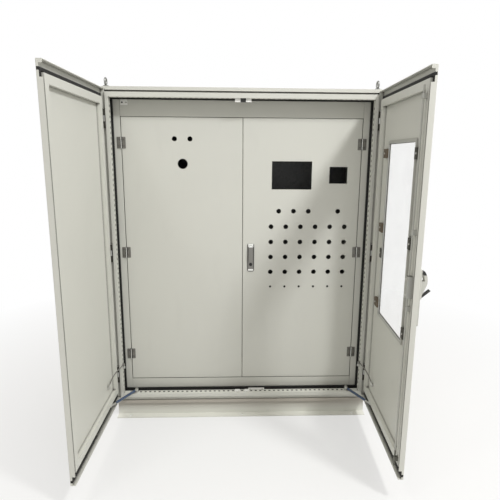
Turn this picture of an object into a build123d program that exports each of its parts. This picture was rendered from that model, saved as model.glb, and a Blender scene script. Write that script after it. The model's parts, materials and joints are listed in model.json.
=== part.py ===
from build123d import *
import os
from math import asin, cos, degrees, radians, sin, tan

# A free-standing control cabinet on a plinth. Two outer doors stand open, and two inner
# doors close the equipment space behind them. Millimetres, +Z up, the front looks towards
# -Y, and the origin is on the floor in the middle of the plinth's bolt holes.
# Pieces that come in pairs are drawn on the right, at +X, and mirrored to the left. Outer
# doors are drawn shut and then swung to the angle at which they stand at rest.

# Driving sizes
body_width = 1220
body_depth = 400
body_height = 1475
plinth_height = 80
sheet = 2
left_rest_angle = 91.2
right_rest_angle = 87.0

# Clearances
overrun = 5
running_fit = 0.05
loose_fit = 0.3

# Plinth
plinth_sheet = 3
plinth_overhang = 2
plinth_web_inset = 4
band_proud = 10
band_height = 15
foot_reach = 35
top_flange = 40
foot_hole_inset = 60
foot_hole_radius = 6
side_rail_flange = 25

# Front frame: a rim flush with the body, a rain groove, and a lip that the doors shut against
border_side = 30
border_top = 45
border_bottom = 40
rim_share = 1 / 3
groove_share = 1 / 5
lip_proud = 14
groove_depth = 12
return_depth = 30
slot_long = 10
slot_wide = 10
slot_pitch = 22.7
slot_from_edge = 11

# Body panels and what hangs on them
panel_flange = 20
plate_thick = 2.5
plate_margin_side = 60
plate_margin_end = 60
plate_edge = 15
plate_standoff = 46
stud_radius = 8
stud_margin = 50
eye_inset_x = 14
eye_inset_y = 26
eye_height = 40
eye_bar = 4
eye_ring = 14
eye_collar_radius = 13
eye_collar_height = 6
eye_shank_radius = 5
eye_shank_depth = 12
eye_nut_radius = 9

# Inner frame and inner doors
inner_setback = 70
inner_frame_side = 33
inner_frame_top = 71.5
inner_frame_bottom = 48.5
inner_frame_depth = 18
inner_frame_lap = 2.5
inner_frame_drop = 3
inner_frame_foot = 3
inner_frame_joint = 0.8
inner_gap = 1.5
inner_door_depth = 22
bracket_height = 40
bracket_leg = 38
bracket_inset = 6
bracket_shares = (0.12, 0.5, 0.88)
inner_hinge_shares = (0.105, 0.51, 0.91)
inner_hinge_height = 50
inner_leaf_width = 19
inner_barrel_radius = 3.2
inner_pin_radius = 1.5
fold_radius = 3

# Cut-outs of the inner doors, as shares of an inner door's width and height
button_radius = 11.25
button_column_share = 0.127737
button_row_share = 0.058011
button_first_share = 0.24635
button_top_share = 0.607735
button_columns = 6
button_rows = 4
lamp_first_share = 0.310219
lamp_row_share = 0.666140
lamp_columns = (0, 1, 2, 4)
small_hole_radius = 4
small_row_share = 0.375691
screen_across_share = 0.416058
screen_up_share = 0.797553
screen_width_share = 0.339416
screen_height = 129
meter_across_share = 0.812044
meter_up_share = 0.799132
meter_width_share = 0.153285
meter_height = 77
pair_across_share = 0.501825
pair_up_share = 0.925020
sounder_up_share = 0.837017
sounder_radius = 23

# Inner handle
inner_handle_x = 39.5
inner_handle_share = 0.528019
housing_width = 31
housing_above = 19
housing_below = 116
housing_thick = 3
housing_corner = 6
keyhole_below = 82
keyhole_radius = 5
keyhole_proud = 1.5
latch_width = 20
latch_length = 62
latch_thick = 7
latch_bow = 3
latch_shaft_radius = 6
tongue_length = 53
tongue_width = 16
tongue_thick = 4
tongue_clear = 2

# Outer doors
door_gap = 3
door_air = 4
door_head = 10
door_foot = 17
gasket_width = 10
gasket_height = 7.7
gasket_inset = 2
gasket_free_gap = 1.5
lip_clear = 1.5
band_width = 30
band_rise = 16
band_gap = 3
band_free_gap = 1

# Outer hinges: two lugs on the lip's outer wall, a door leaf between them, and a pin
hinge_throw = 8.5
hinge_edge = 6.5
hinge_forward = 6
lug_radius = 4.1
lug_height = 28
lug_arm = 3
leaf_slot = 25
leaf_radius = 4.3
hinge_pin_radius = 3
pin_head = 2
hinge_shares = (0.0856, 0.502, 0.9137)

# Window in the right door
window_from_free = 135
window_from_hinge = 161.5
window_from_foot = 491
window_from_head = 229
pane_lap = 10
pane_thick = 4
frame_lap = 8
frame_air = 0.5
clip_width = 11
clip_height = 41
clip_rise = 9
clip_finger = 12.5
clip_offset = 8
block_width = 36
block_height = 38
block_rise = 12
block_finger = 11
block_offset = 6
clip_shares = (0.04, 0.459, 0.908)
hinge_clip_share = 0.37

# Lock of the right door: a swing handle turns a cam that pushes two rods
lock_share = 0.505
rod_radius = 3
rod_offset = 11
rod_start = 14
rod_clear = 4
rod_tip = 1.5
keeper_width = 24
keeper_shift = 7
keeper_clear = 0.6
keeper_rod_gap = 1.6
upper_keeper_height = 16
lower_keeper_height = 11
guide_radius = 6
guide_height = 16
guide_shares = (0.047, 0.451, 0.635, 0.9378)
case_half_width = 11
case_below = 38
case_above = 38
case_depth = 20
cam_length = 16
cam_width = 12
cam_thick = 8
spindle_radius = 5
spindle_hole = 8
dish_width = 36
dish_below = 138
dish_above = 67
dish_thick = 9
dish_corner = 8
dish_edge = 2
lever_width = 22
lever_nose = 30
lever_nose_rise = 5
lever_belly = 22
lever_reach = 58
lever_crown_share = 0.4
lever_root_share = 0.34
lever_thick = 9
lever_tip_rise = 10
cover_length = 42
cover_width = 16
cover_thick = 4
cover_barrel = 3
cover_pin = 1.4
cover_below = 38
cover_rest_angle = 49

# Door stays: an arm on the ledge whose far end runs along a slotted rail on the door
stay_from_hinge = 82.5
stay_pivot_behind_hinge = 18
stay_line_before_hinge = 2
stay_length = 170
stay_seat = 4
stay_sleeve_radius = 6
stay_rod_radius = 4
stay_eye_radius = 8
stay_boss_radius = 7
stay_head_radius = 6.5
stay_head = 2
stay_sleeve_start = 16
stay_sleeve_end = 30
stay_tip_clear = 0.6
band_above_stay = 4
rail_above_ledge = 1
rail_start = 105
rail_end = 335
rail_depth = 16
rail_back = 17
rail_slot_width = 6
rail_slot_margin = 6

# Earth straps: studs on post and door, and the route of each strap between them. The first
# points are offsets from the post stud (towards the middle, forwards, up), the last ones
# are places on the door (from its hinge, inwards, above the floor).
earth_stud_radius = 4
earth_stud_height = 10
earth_post_share = 0.0953
earth_door_reach = 130
earth_door_z = 220
strap_radius = 2.5
strap_corner_share = 0.45
strap_frame_route = [(5, 4.3, 0), (6, 27, -1.5), (3, 53, -10.5)]
strap_door_route = [(69, 17.5, 230), (95, 6.5, 221.5), (124.8, -7, 220)]

# Plates screwed to the frame
keeper_plate_start = 31
keeper_plate_width = 79
keeper_plate_height = 24
keeper_plate_lap = 8
plate_hole_radius = 4
plate_hole_inset = 9
corner_plate_inset = 21
corner_plate_width = 32
corner_plate_height = 25
corner_slot_long = 10
corner_slot_wide = 4

# Levels that several pieces share
half_width = body_width / 2
front_y = -body_depth / 2
rear_y = body_depth / 2
base_z = plinth_height
top_z = plinth_height + body_height
lip_y = front_y - lip_proud
groove_y = front_y + groove_depth
return_y = lip_y + return_depth
opening_half = half_width - border_side
opening_bottom = base_z + border_bottom
opening_top = top_z - border_top
opening_height = opening_top - opening_bottom
lip_outer_x = half_width - border_side * (rim_share + groove_share)
plate_y = rear_y - sheet - plate_standoff - plate_thick

inner_y = lip_y + inner_setback
frame_out_x = opening_half + inner_frame_lap
frame_in_x = frame_out_x - inner_frame_side
frame_top_z = opening_top - inner_frame_drop
frame_bottom_z = opening_bottom - inner_frame_foot
inner_door_x = frame_in_x - inner_gap
inner_door_top = frame_top_z - inner_frame_top - inner_gap
inner_door_bottom = frame_bottom_z + inner_frame_bottom + inner_gap
inner_door_height = inner_door_top - inner_door_bottom
inner_handle_z = inner_door_bottom + inner_handle_share * inner_door_height
inner_hinge_x = frame_in_x - inner_gap / 2
inner_hinge_y = inner_y - inner_barrel_radius - loose_fit
inner_back_y = inner_y + inner_door_depth

door_edge_y = front_y - door_air
skin_y = lip_y - loose_fit - gasket_height
door_face_y = skin_y - sheet
hinge_x = lip_outer_x + hinge_throw
hinge_y = door_edge_y - hinge_forward
door_out_x = hinge_x + hinge_edge
door_free_x = door_gap / 2
door_bottom = base_z + door_foot
door_top = top_z - door_head
door_height = door_top - door_bottom
gasket_free_x = door_free_x + sheet + gasket_free_gap
band_out_x = opening_half - band_gap
band_free_x = gasket_free_x + gasket_width + band_free_gap
stay_z = opening_bottom + stay_seat + stay_sleeve_radius
band_bottom = stay_z + stay_sleeve_radius + band_above_stay
band_top = opening_top - band_gap
band_face_y = skin_y + band_rise

lock_x = band_free_x + band_width / 2
lock_z = door_bottom + lock_share * door_height
rod_y = band_face_y + rod_offset
rod_top = opening_top - upper_keeper_height - rod_clear
rod_bottom = opening_bottom + lower_keeper_height + rod_clear
dish_face_y = door_face_y - dish_thick


# Drawing aids
def outline(points):
    """Flat face inside a closed line of points."""
    return make_face(Polyline(*points, close=True))


def folded(points, thick):
    """Section of a sheet bent along the points, its thickness on the left of the path."""
    path = [Vector(*point) for point in points]
    runs = [(end - start).normalized() for start, end in zip(path, path[1:])]
    lefts = [Vector(-run.Y, run.X) for run in runs]
    inner = [path[0] + lefts[0] * thick]
    for corner, before, after in zip(path[1:-1], lefts, lefts[1:]):
        inner.append(corner + (before + after) * (thick / (1 + before.dot(after))))
    inner.append(path[-1] + lefts[-1] * thick)
    return outline([*path, *reversed(inner)])


def run_x(section, low, high):
    """Extrude a section drawn in (y, z) along X."""
    return extrude(Plane.YZ.offset(low) * section, high - low)


def run_y(section, low, high):
    """Extrude a section drawn in (x, z) along Y."""
    return extrude(Plane.XZ.offset(-high) * section, high - low)


def run_z(section, low, high):
    """Extrude a section drawn in (x, y) along Z."""
    return extrude(Pos(0, 0, low) * section, high - low)


def rectangle(low, high):
    """Flat rectangle between two opposite corners."""
    return outline([low, (high[0], low[1]), high, (low[0], high[1])])


def disc(x, y, radius):
    """Flat circle at a place."""
    return Pos(x, y) * Circle(radius)


def mirrored(shape):
    """The same piece on the left of the cabinet."""
    return shape.mirror(Plane.YZ)


def pair(shape):
    """A piece and its mirror image."""
    return [shape, mirrored(shape)]


def swung(shape, side):
    """A right-hand door piece drawn shut, put on its side and turned to its rest angle."""
    angle = right_rest_angle if side > 0 else -left_rest_angle
    drawn = shape if side > 0 else mirrored(shape)
    return drawn.rotate(Axis((side * hinge_x, hinge_y, 0), (0, 0, 1)), angle)


def mitred_ring(section_at, outer, inner, low_y, high_y):
    """Four lengths of one section, cut at 45 or near it where they meet.

    section_at gives the section of one side, in (distance from the outer edge, y).
    """
    left, bottom, right, top = outer
    in_left, in_bottom, in_right, in_top = inner
    corners = [(left, bottom), (right, bottom), (right, top), (left, top)]
    in_corners = [(in_left, in_bottom), (in_right, in_bottom), (in_right, in_top), (in_left, in_top)]
    upright = [(left + s, y) for s, y in section_at(in_left - left)[0]]
    far_upright = [(right - s, y) for s, y in reversed(section_at(right - in_right)[0])]
    sill = [(y, bottom + s) for s, y in reversed(section_at(in_bottom - bottom)[0])]
    head = [(y, top - s) for s, y in section_at(top - in_top)[0]]
    thick = section_at(in_left - left)[1]
    lengths = [
        run_x(folded(sill, thick), left, right),
        run_z(folded(far_upright, thick), bottom, top),
        run_x(folded(head, thick), left, right),
        run_z(folded(upright, thick), bottom, top),
    ]
    members = []
    for index, length in enumerate(lengths):
        after = (index + 1) % len(lengths)
        wedge = outline([corners[index], corners[after], in_corners[after], in_corners[index]])
        members.append(length & run_y(wedge, low_y - overrun, high_y + overrun))
    return members


def pan(low, high, face_y, edge_y):
    """Door sheet with its four edges folded back, between two corners in (x, z)."""
    depth = edge_y - face_y
    width, height = high[0] - low[0], high[1] - low[1]
    centre = Pos((low[0] + high[0]) / 2, face_y + depth / 2, (low[1] + high[1]) / 2)
    body = centre * Box(width, depth, height)
    front = body.faces().sort_by(Axis.Y)[0]
    body = fillet(front.edges(), fold_radius)
    hollow = centre * Pos(0, sheet, 0) * Box(width - 2 * sheet, depth, height - 2 * sheet)
    return body - hollow


# Plinth
def plinth_cross_rail():
    """Front rail: foot flange with bolt holes, web, proud top band and top flange."""
    web = -front_y - plinth_web_inset
    band = web + band_proud
    foot = web + foot_reach
    shoulder = plinth_height - band_height
    path = [
        (-foot, plinth_sheet),
        (-web, plinth_sheet),
        (-web, shoulder),
        (-band, shoulder),
        (-band, plinth_height),
        (top_flange - band, plinth_height),
    ]
    half = half_width + plinth_overhang
    rail = run_x(folded(list(reversed(path)), plinth_sheet), -half, half)
    reach = half_width - foot_hole_inset
    holes = [disc(x, -(web + foot) / 2, foot_hole_radius) for x in (-reach, 0, reach)]
    for hole in holes:
        rail -= run_z(hole, -overrun, plinth_sheet + overrun)
    return rail


def plinth_side_rail():
    """Side rail between the webs, under the cross rails' top flanges."""
    face = half_width - plinth_web_inset
    path = [
        (face - side_rail_flange, 0),
        (face, 0),
        (face, plinth_height - plinth_sheet),
        (face - side_rail_flange, plinth_height - plinth_sheet),
    ]
    reach = -front_y - plinth_web_inset - plinth_sheet
    return run_y(folded(path, plinth_sheet), -reach, reach)


# Front frame
def frame_section(border):
    """Bends of the front frame's sheet, from the body's edge to the end of the return."""
    rim = border * rim_share
    lip = border * (rim_share + groove_share)
    path = [
        (0, front_y),
        (rim, front_y),
        (rim, groove_y),
        (lip, groove_y),
        (lip, lip_y),
        (border, lip_y),
        (border, return_y),
    ]
    return path, sheet


def slot_places(length):
    """Places of the punched slots along a return flange, about its middle."""
    count = int((length - 2 * slot_pitch) / slot_pitch)
    return [(index - (count - 1) / 2) * slot_pitch for index in range(count)]


def front_frame():
    """Bottom rail, right post, top rail and left post, with slots in their returns."""
    outer = (-half_width, base_z, half_width, top_z)
    inner = (-opening_half, opening_bottom, opening_half, opening_top)
    sill, right, head, left = mitred_ring(frame_section, outer, inner, lip_y, return_y)
    slot_y = return_y - slot_from_edge
    stud_y = (lip_y + return_y) / 2
    middle_z = (opening_bottom + opening_top) / 2
    wide = [Pos(x, slot_y) * Rectangle(slot_long, slot_wide) for x in slot_places(2 * opening_half)]
    sill -= [run_z(slot, opening_bottom - overrun, opening_bottom + overrun) for slot in wide]
    head -= [run_z(slot, opening_top - overrun, opening_top + overrun) for slot in wide]
    stud_z = opening_bottom + earth_post_share * opening_height
    levels = [middle_z + z for z in slot_places(opening_height)]
    clear = [z for z in levels if abs(z - stud_z) > slot_pitch / 2]
    tall = [Pos(slot_y, z) * Rectangle(slot_wide, slot_long) for z in clear]
    right -= [run_x(slot, opening_half - overrun, opening_half + overrun) for slot in tall]
    left -= [run_x(slot, -opening_half - overrun, overrun - opening_half) for slot in tall]
    stud = run_x(disc(stud_y, stud_z, earth_stud_radius), opening_half - earth_stud_height, opening_half)
    return sill, right + stud, head, left + mirrored(stud)


# Body panels
def side_panel():
    """Side sheet with its rear edge folded in."""
    rear = rear_y - sheet
    path = [
        (half_width, front_y + sheet),
        (half_width, rear),
        (half_width - panel_flange, rear),
    ]
    panel = run_z(folded(path, sheet), base_z, top_z)
    relief = rectangle((overrun, rear - sheet - overrun), (half_width - sheet, rear + overrun))
    panel -= run_z(relief, base_z - overrun, base_z + sheet)
    return panel - run_z(relief, top_z - sheet, top_z + overrun)


def capping_panel(face_z, inward):
    """Roof or floor sheet between the sides, with its two side edges folded inwards."""
    half = half_width - sheet
    drop = face_z + inward * panel_flange
    path = [(half, drop), (half, face_z), (-half, face_z), (-half, drop)]
    path = path if inward < 0 else list(reversed(path))
    low, high = front_y + sheet, rear_y - sheet
    panel = run_y(folded(path, sheet), low, high)
    tooth = rectangle((-half - overrun, face_z + inward * sheet), (half + overrun, drop + inward * overrun))
    panel -= run_y(tooth, low - overrun, return_y)
    return panel - run_y(tooth, high - sheet - loose_fit, high + overrun)


def eye_places():
    """Places of the four lifting eyes on the roof."""
    x, y = half_width - eye_inset_x, rear_y - eye_inset_y
    return [(-x, -y), (x, -y), (x, y), (-x, y)]


def roof_panel():
    """Roof sheet with a welded nut under each lifting eye."""
    roof = capping_panel(top_z, -1)
    under = top_z - sheet
    for x, y in eye_places():
        roof += run_z(disc(x, y, eye_nut_radius), under - eye_shank_depth, under)
        roof -= run_z(disc(x, y, eye_shank_radius), under - eye_shank_depth - overrun, top_z + overrun)
    return roof


def lifting_eye(x, y):
    """Eye bolt: ring, collar and shank."""
    collar_top = top_z + eye_collar_height
    foot = top_z - sheet - eye_shank_depth
    half_section = [
        (0, foot),
        (eye_shank_radius, foot),
        (eye_shank_radius, top_z),
        (eye_collar_radius, top_z),
        (eye_collar_radius, collar_top - eye_bar / 2),
        (eye_collar_radius - eye_bar / 2, collar_top),
        (0, collar_top),
    ]
    stem = revolve(Plane.XZ * outline(half_section), Axis.Z)
    ring_z = top_z + eye_height - eye_ring - eye_bar
    ring = Pos(0, 0, ring_z) * Rot(0, 90, 0) * Torus(eye_ring, eye_bar)
    return Pos(x, y, 0) * (stem + ring)


def rear_panel():
    """Rear sheet with the welded studs that carry the mounting plate."""
    panel = run_y(rectangle((-half_width, base_z), (half_width, top_z)), rear_y - sheet, rear_y)
    x = half_width - plate_margin_side - stud_margin
    low = base_z + plate_margin_end + stud_margin
    high = top_z - plate_margin_end - stud_margin
    for stud_x in (-x, x):
        for stud_z in (low, (low + high) / 2, high):
            face_y = plate_y + plate_thick
            panel += run_y(disc(stud_x, stud_z, stud_radius), face_y, rear_y - sheet)
    return panel


def mounting_plate():
    """Equipment plate with its upright edges folded back."""
    half = half_width - plate_margin_side
    path = [
        (-half, plate_y + plate_edge),
        (-half, plate_y),
        (half, plate_y),
        (half, plate_y + plate_edge),
    ]
    return run_z(folded(path, plate_thick), base_z + plate_margin_end, top_z - plate_margin_end)


# Inner frame
def inner_frame_upright():
    """Channel beside an inner door, on the right."""
    back = inner_y + inner_frame_depth
    path = [(frame_in_x, back), (frame_in_x, inner_y), (frame_out_x, inner_y), (frame_out_x, back)]
    return run_z(folded(path, sheet), frame_bottom_z, frame_top_z)


def inner_frame_cross(low, high):
    """Channel above or below the inner doors."""
    back = inner_y + inner_frame_depth
    path = [(back, high), (inner_y, high), (inner_y, low), (back, low)]
    reach = frame_in_x - inner_frame_joint
    return run_x(folded(path, sheet), -reach, reach)


def inner_frame_bracket(share):
    """Bent bracket from the side panel to the inner frame's channel."""
    back = inner_y + inner_frame_depth
    wall = half_width - sheet
    web = inner_y + bracket_inset
    path = [
        (frame_out_x, back),
        (frame_out_x, web),
        (wall, web),
        (wall, web + bracket_leg),
    ]
    middle = opening_bottom + share * opening_height
    return run_z(folded(path, sheet), middle - bracket_height / 2, middle + bracket_height / 2)


# Inner doors
def inner_door():
    """Sheet of the right inner door, with no cut-outs."""
    low = (inner_gap / 2, inner_door_bottom)
    high = (inner_door_x, inner_door_top)
    return pan(low, high, inner_y, inner_back_y)


def through_inner(section):
    """A cut through the inner door's sheet."""
    return run_y(section, inner_y - overrun, inner_y + sheet + overrun)


def across(share):
    """A share of the inner door's width, from the middle of the cabinet."""
    return share * inner_door_x


def level(share):
    """Height at a share of the inner door's height."""
    return inner_door_bottom + share * inner_door_height


def left_inner_panel():
    """Left inner door, with two push-button holes and a sounder hole."""
    panel = mirrored(inner_door())
    middle = across(-pair_across_share)
    for x in (middle - across(button_column_share) / 2, middle + across(button_column_share) / 2):
        panel -= through_inner(disc(x, level(pair_up_share), button_radius))
    return panel - through_inner(disc(middle, level(sounder_up_share), sounder_radius))


def right_inner_panel():
    """Right inner door, with cut-outs for a screen, a meter, push buttons and lamps."""
    panel = inner_door()
    screen = Pos(across(screen_across_share), level(screen_up_share)) * Rectangle(
        across(screen_width_share), screen_height
    )
    meter = Pos(across(meter_across_share), level(meter_up_share)) * Rectangle(
        across(meter_width_share), meter_height
    )
    cuts = [screen, meter, disc(inner_handle_x, inner_handle_z, latch_shaft_radius + running_fit)]
    columns = [across(button_first_share + column * button_column_share) for column in range(button_columns)]
    lamps = [across(lamp_first_share + column * button_column_share) for column in lamp_columns]
    for row in range(button_rows):
        z = level(button_top_share - row * button_row_share)
        cuts += [disc(x, z, button_radius) for x in columns]
    cuts += [disc(x, level(lamp_row_share), button_radius) for x in lamps]
    cuts += [disc(x, level(small_row_share), small_hole_radius) for x in columns]
    return panel - [through_inner(cut) for cut in cuts]


def inner_hinge(z):
    """Fixed leaf with its pin, and moving leaf, of one inner hinge."""
    half = inner_hinge_height / 2
    joint = half / 2
    barrel = disc(inner_hinge_x, inner_hinge_y, inner_barrel_radius)
    room = disc(inner_hinge_x, inner_hinge_y, inner_barrel_radius + loose_fit)
    pin = disc(inner_hinge_x, inner_hinge_y, inner_pin_radius)
    bore = disc(inner_hinge_x, inner_hinge_y, inner_pin_radius + running_fit)
    leaf_y = inner_y - sheet
    on_frame = rectangle((inner_hinge_x, leaf_y), (inner_hinge_x + inner_leaf_width, inner_y))
    on_door = rectangle((inner_hinge_x - inner_leaf_width, leaf_y), (inner_hinge_x, inner_y))
    fixed = run_z(on_frame, z - half, z + half)
    fixed += [run_z(barrel, z - half, z - joint), run_z(barrel, z + joint, z + half)]
    fixed -= run_z(room, z - joint, z + joint)
    fixed += run_z(pin, z - half, z + half)
    low, high = z - joint + loose_fit, z + joint - loose_fit
    moving = run_z(on_door, z - half, z + half) + run_z(barrel, low, high)
    moving -= [run_z(room, z - half - overrun, low), run_z(room, high, z + half + overrun)]
    return fixed, moving - run_z(bore, low - overrun, high + overrun)


def inner_hinges():
    """All inner hinges of one side: fixed leaves and moving leaves."""
    places = [inner_door_bottom + share * inner_door_height for share in inner_hinge_shares]
    hinges = [inner_hinge(z) for z in places]
    return [fixed for fixed, moving in hinges], [moving for fixed, moving in hinges]


# Inner handle
def inner_handle_housing():
    """Plate under the inner handle, with a key cylinder low down."""
    high, low = inner_handle_z + housing_above, inner_handle_z - housing_below
    form = Pos(inner_handle_x, (high + low) / 2) * RectangleRounded(
        housing_width, high - low, housing_corner
    )
    face = inner_y - housing_thick
    plate = run_y(form, face, inner_y)
    plate += run_y(
        disc(inner_handle_x, inner_handle_z - keyhole_below, keyhole_radius), face - keyhole_proud, face
    )
    hole = disc(inner_handle_x, inner_handle_z, latch_shaft_radius + running_fit)
    return plate - run_y(hole, face - overrun, inner_y + overrun)


def inner_handle_lever():
    """Bowed lever hanging from its shaft, which reaches through the door to the tongue."""
    base = inner_y - housing_thick - loose_fit
    top = base - latch_thick
    radius = latch_width / 2
    tail = inner_handle_z - latch_length
    belly = (tail + inner_handle_z) / 2
    head = inner_handle_z + radius
    bow = ThreePointArc((top, tail - radius), (top - latch_bow, belly), (top, head))
    back = Polyline((top, head), (base, head), (base, tail - radius), (top, tail - radius))
    side_view = run_x(make_face(bow + back), inner_handle_x - radius, inner_handle_x + radius)
    plan = disc(inner_handle_x, inner_handle_z, radius) + disc(inner_handle_x, tail, radius)
    plan += rectangle((inner_handle_x - radius, tail), (inner_handle_x + radius, inner_handle_z))
    lever = side_view & run_y(plan, top - latch_bow - overrun, base)
    back_y = inner_back_y + tongue_clear + tongue_thick
    return lever + run_y(disc(inner_handle_x, inner_handle_z, latch_shaft_radius), base, back_y)


def inner_handle_tongue():
    """Tongue on the shaft's end, upright while the inner doors are free to open."""
    near = inner_back_y + tongue_clear
    radius = tongue_width / 2
    tip = inner_handle_z + tongue_length - radius
    plan = disc(inner_handle_x, inner_handle_z, radius) + disc(inner_handle_x, tip, radius)
    plan += rectangle((inner_handle_x - radius, inner_handle_z), (inner_handle_x + radius, tip))
    plan -= disc(inner_handle_x, inner_handle_z, latch_shaft_radius)
    return run_y(plan, near, near + tongue_thick)


# Outer doors
def seal_runs():
    """Heights of the seal's bottom and top runs."""
    low, high = opening_bottom - gasket_inset, opening_top + gasket_inset
    return [(low - gasket_width, low), (high, high + gasket_width)]


def free_edge_relief():
    """Cuts that keep the free edge's fold clear of the frame's lip and let the seal run out."""
    start, stop = door_free_x - overrun, door_free_x + sheet
    end_y = door_edge_y + overrun
    lip_top = top_z - border_top * (rim_share + groove_share)
    notches = [
        (door_bottom + sheet, opening_bottom + lower_keeper_height + lip_clear),
        (opening_top - upper_keeper_height - lip_clear, lip_top + lip_clear),
    ]
    cuts = [run_y(rectangle((start, low), (stop, high)), lip_y - lip_clear, end_y) for low, high in notches]
    return cuts + [run_y(rectangle((start, low), (stop, high)), skin_y, end_y) for low, high in seal_runs()]


def door_panel():
    """Right door sheet with folded edges and a welded earth stud."""
    panel = pan((door_free_x, door_bottom), (door_out_x, door_top), door_face_y, door_edge_y)
    panel -= free_edge_relief()
    stud = disc(hinge_x - earth_door_reach, earth_door_z, earth_stud_radius)
    return panel + run_y(stud, skin_y, skin_y + earth_stud_height)


def right_door_panel():
    """Right door sheet with the window opening and the lock's hole."""
    left, bottom, right, top = window_edges(0)
    opening = rectangle((left, bottom), (right, top))
    hole = disc(lock_x, lock_z, spindle_hole)
    cuts = [run_y(cut, door_face_y - overrun, skin_y + overrun) for cut in (opening, hole)]
    return door_panel() - cuts


def door_gasket():
    """Foamed seal that meets the front frame's lip."""
    low = (gasket_free_x, opening_bottom - gasket_inset - gasket_width)
    high = (opening_half + gasket_inset + gasket_width, opening_top + gasket_inset + gasket_width)
    ring = rectangle(low, high)
    ring -= rectangle(
        (low[0] + gasket_width, low[1] + gasket_width), (high[0] - gasket_width, high[1] - gasket_width)
    )
    for bottom, top in seal_runs():
        ring += rectangle((door_free_x, bottom), (gasket_free_x, top))
    return run_y(ring, skin_y, skin_y + gasket_height)


def stiffener_section(width):
    """Bends of the door's stiffening channel, open towards the sheet."""
    return [(0, skin_y), (0, band_face_y), (width, band_face_y), (width, skin_y)][::-1], sheet


def door_stiffeners():
    """Four mitred channels inside the door."""
    outer = (band_free_x, band_bottom, band_out_x, band_top)
    inner = (
        band_free_x + band_width,
        band_bottom + band_width,
        band_out_x - band_width,
        band_top - band_width,
    )
    return mitred_ring(stiffener_section, outer, inner, skin_y, band_face_y)


def right_door_stiffeners():
    """The right door's channels, with a hole for the lock's spindle."""
    hole = run_y(disc(lock_x, lock_z, spindle_hole), skin_y - overrun, band_face_y + overrun)
    return [channel - hole for channel in door_stiffeners()]


def hinge_places():
    """Middle heights of the outer hinges."""
    return [door_bottom + share * door_height for share in hinge_shares]


def hinge_lugs():
    """Lugs on the front frame's lip, two for each hinge."""
    form = disc(hinge_x, hinge_y, lug_radius)
    form += rectangle((lip_outer_x, lip_y), (hinge_x, hinge_y + lug_arm))
    form -= disc(hinge_x, hinge_y, hinge_pin_radius)
    lugs = []
    for z in hinge_places():
        lugs.append(run_z(form, z + leaf_slot / 2, z + leaf_slot / 2 + lug_height))
        lugs.append(run_z(form, z - leaf_slot / 2 - lug_height, z - leaf_slot / 2))
    return lugs


def hinge_pins():
    """Headed pins through the lugs."""
    half = leaf_slot / 2 + lug_height
    pins = []
    for z in hinge_places():
        shank = run_z(disc(hinge_x, hinge_y, hinge_pin_radius), z - half, z + half)
        pins.append(shank + run_z(disc(hinge_x, hinge_y, lug_radius), z + half, z + half + pin_head))
    return pins


def hinge_leaves():
    """Door leaves between the lugs, seated on the door sheet."""
    form = disc(hinge_x, hinge_y, leaf_radius)
    form += rectangle((hinge_x - leaf_radius, skin_y), (hinge_x + leaf_radius, hinge_y))
    form -= disc(hinge_x, hinge_y, hinge_pin_radius + running_fit)
    half = leaf_slot / 2 - loose_fit
    return [run_z(form, z - half, z + half) for z in hinge_places()]


# Window
def window_edges(grow):
    """Left, bottom, right and top of the window opening, grown on all sides."""
    left, right = door_free_x + window_from_free, door_out_x - window_from_hinge
    bottom, top = door_bottom + window_from_foot, door_top - window_from_head
    return left - grow, bottom - grow, right + grow, top + grow


def window_pane():
    """Clear pane on the inside of the door sheet."""
    left, bottom, right, top = window_edges(pane_lap)
    return run_y(rectangle((left, bottom), (right, top)), skin_y, skin_y + pane_thick)


def window_frame_section(width):
    """Bends of the angle that holds the pane's edge, in (distance inwards, y)."""
    face = skin_y + pane_thick + sheet
    return [(width, face), (0, face), (0, skin_y)], sheet


def window_frame():
    """Four mitred angles round the pane."""
    outer = window_edges(pane_lap + frame_air + sheet)
    inner = window_edges(pane_lap - frame_lap)
    return mitred_ring(window_frame_section, outer, inner, skin_y, skin_y + pane_thick + sheet)


def hook(foot, toe, tip, rise, low, high):
    """Clamp on the door sheet whose finger reaches over the window frame."""
    seat = skin_y + pane_thick + sheet
    form = [
        (foot, skin_y),
        (toe, skin_y),
        (toe, seat),
        (tip, seat),
        (tip, skin_y + rise),
        (foot, skin_y + rise),
    ]
    return run_z(outline(form), low, high)


def window_clips():
    """Slim clips: three on the window's free side and one on its hinge side."""
    left, bottom, right, top = window_edges(pane_lap + frame_air + sheet)
    clips = []
    for share in clip_shares:
        low = top - share * (top - bottom) - clip_height
        toe = left - clip_offset
        clips.append(hook(toe - clip_width, toe, toe + clip_finger, clip_rise, low, low + clip_height))
    low = bottom + hinge_clip_share * (top - bottom) - clip_height / 2
    toe = right + clip_offset
    clips.append(hook(toe + clip_width, toe, toe - clip_finger, clip_rise, low, low + clip_height))
    return clips


def window_blocks():
    """Broad clamp blocks on the window's hinge side."""
    left, bottom, right, top = window_edges(pane_lap + frame_air + sheet)
    blocks = []
    for share in clip_shares:
        low = top - share * (top - bottom) - block_height
        toe = right + block_offset
        blocks.append(hook(toe + block_width, toe, toe - block_finger, block_rise, low, low + block_height))
    return blocks


# Lock
def rod(low, high):
    """Locking rod with tapered ends."""
    bar = run_z(disc(lock_x, rod_y, rod_radius), low, high)
    return chamfer(bar.edges().filter_by(GeomType.CIRCLE), rod_tip)


def rod_guides():
    """Arched guides that hold the rods on the door's free-side channel."""
    form = disc(lock_x, rod_y, guide_radius)
    form += rectangle((lock_x - guide_radius, band_face_y), (lock_x + guide_radius, rod_y))
    form -= disc(lock_x, rod_y, rod_radius + loose_fit)
    places = [door_bottom + share * door_height for share in guide_shares]
    return [run_z(form, z - guide_height / 2, z + guide_height / 2) for z in places]


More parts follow.
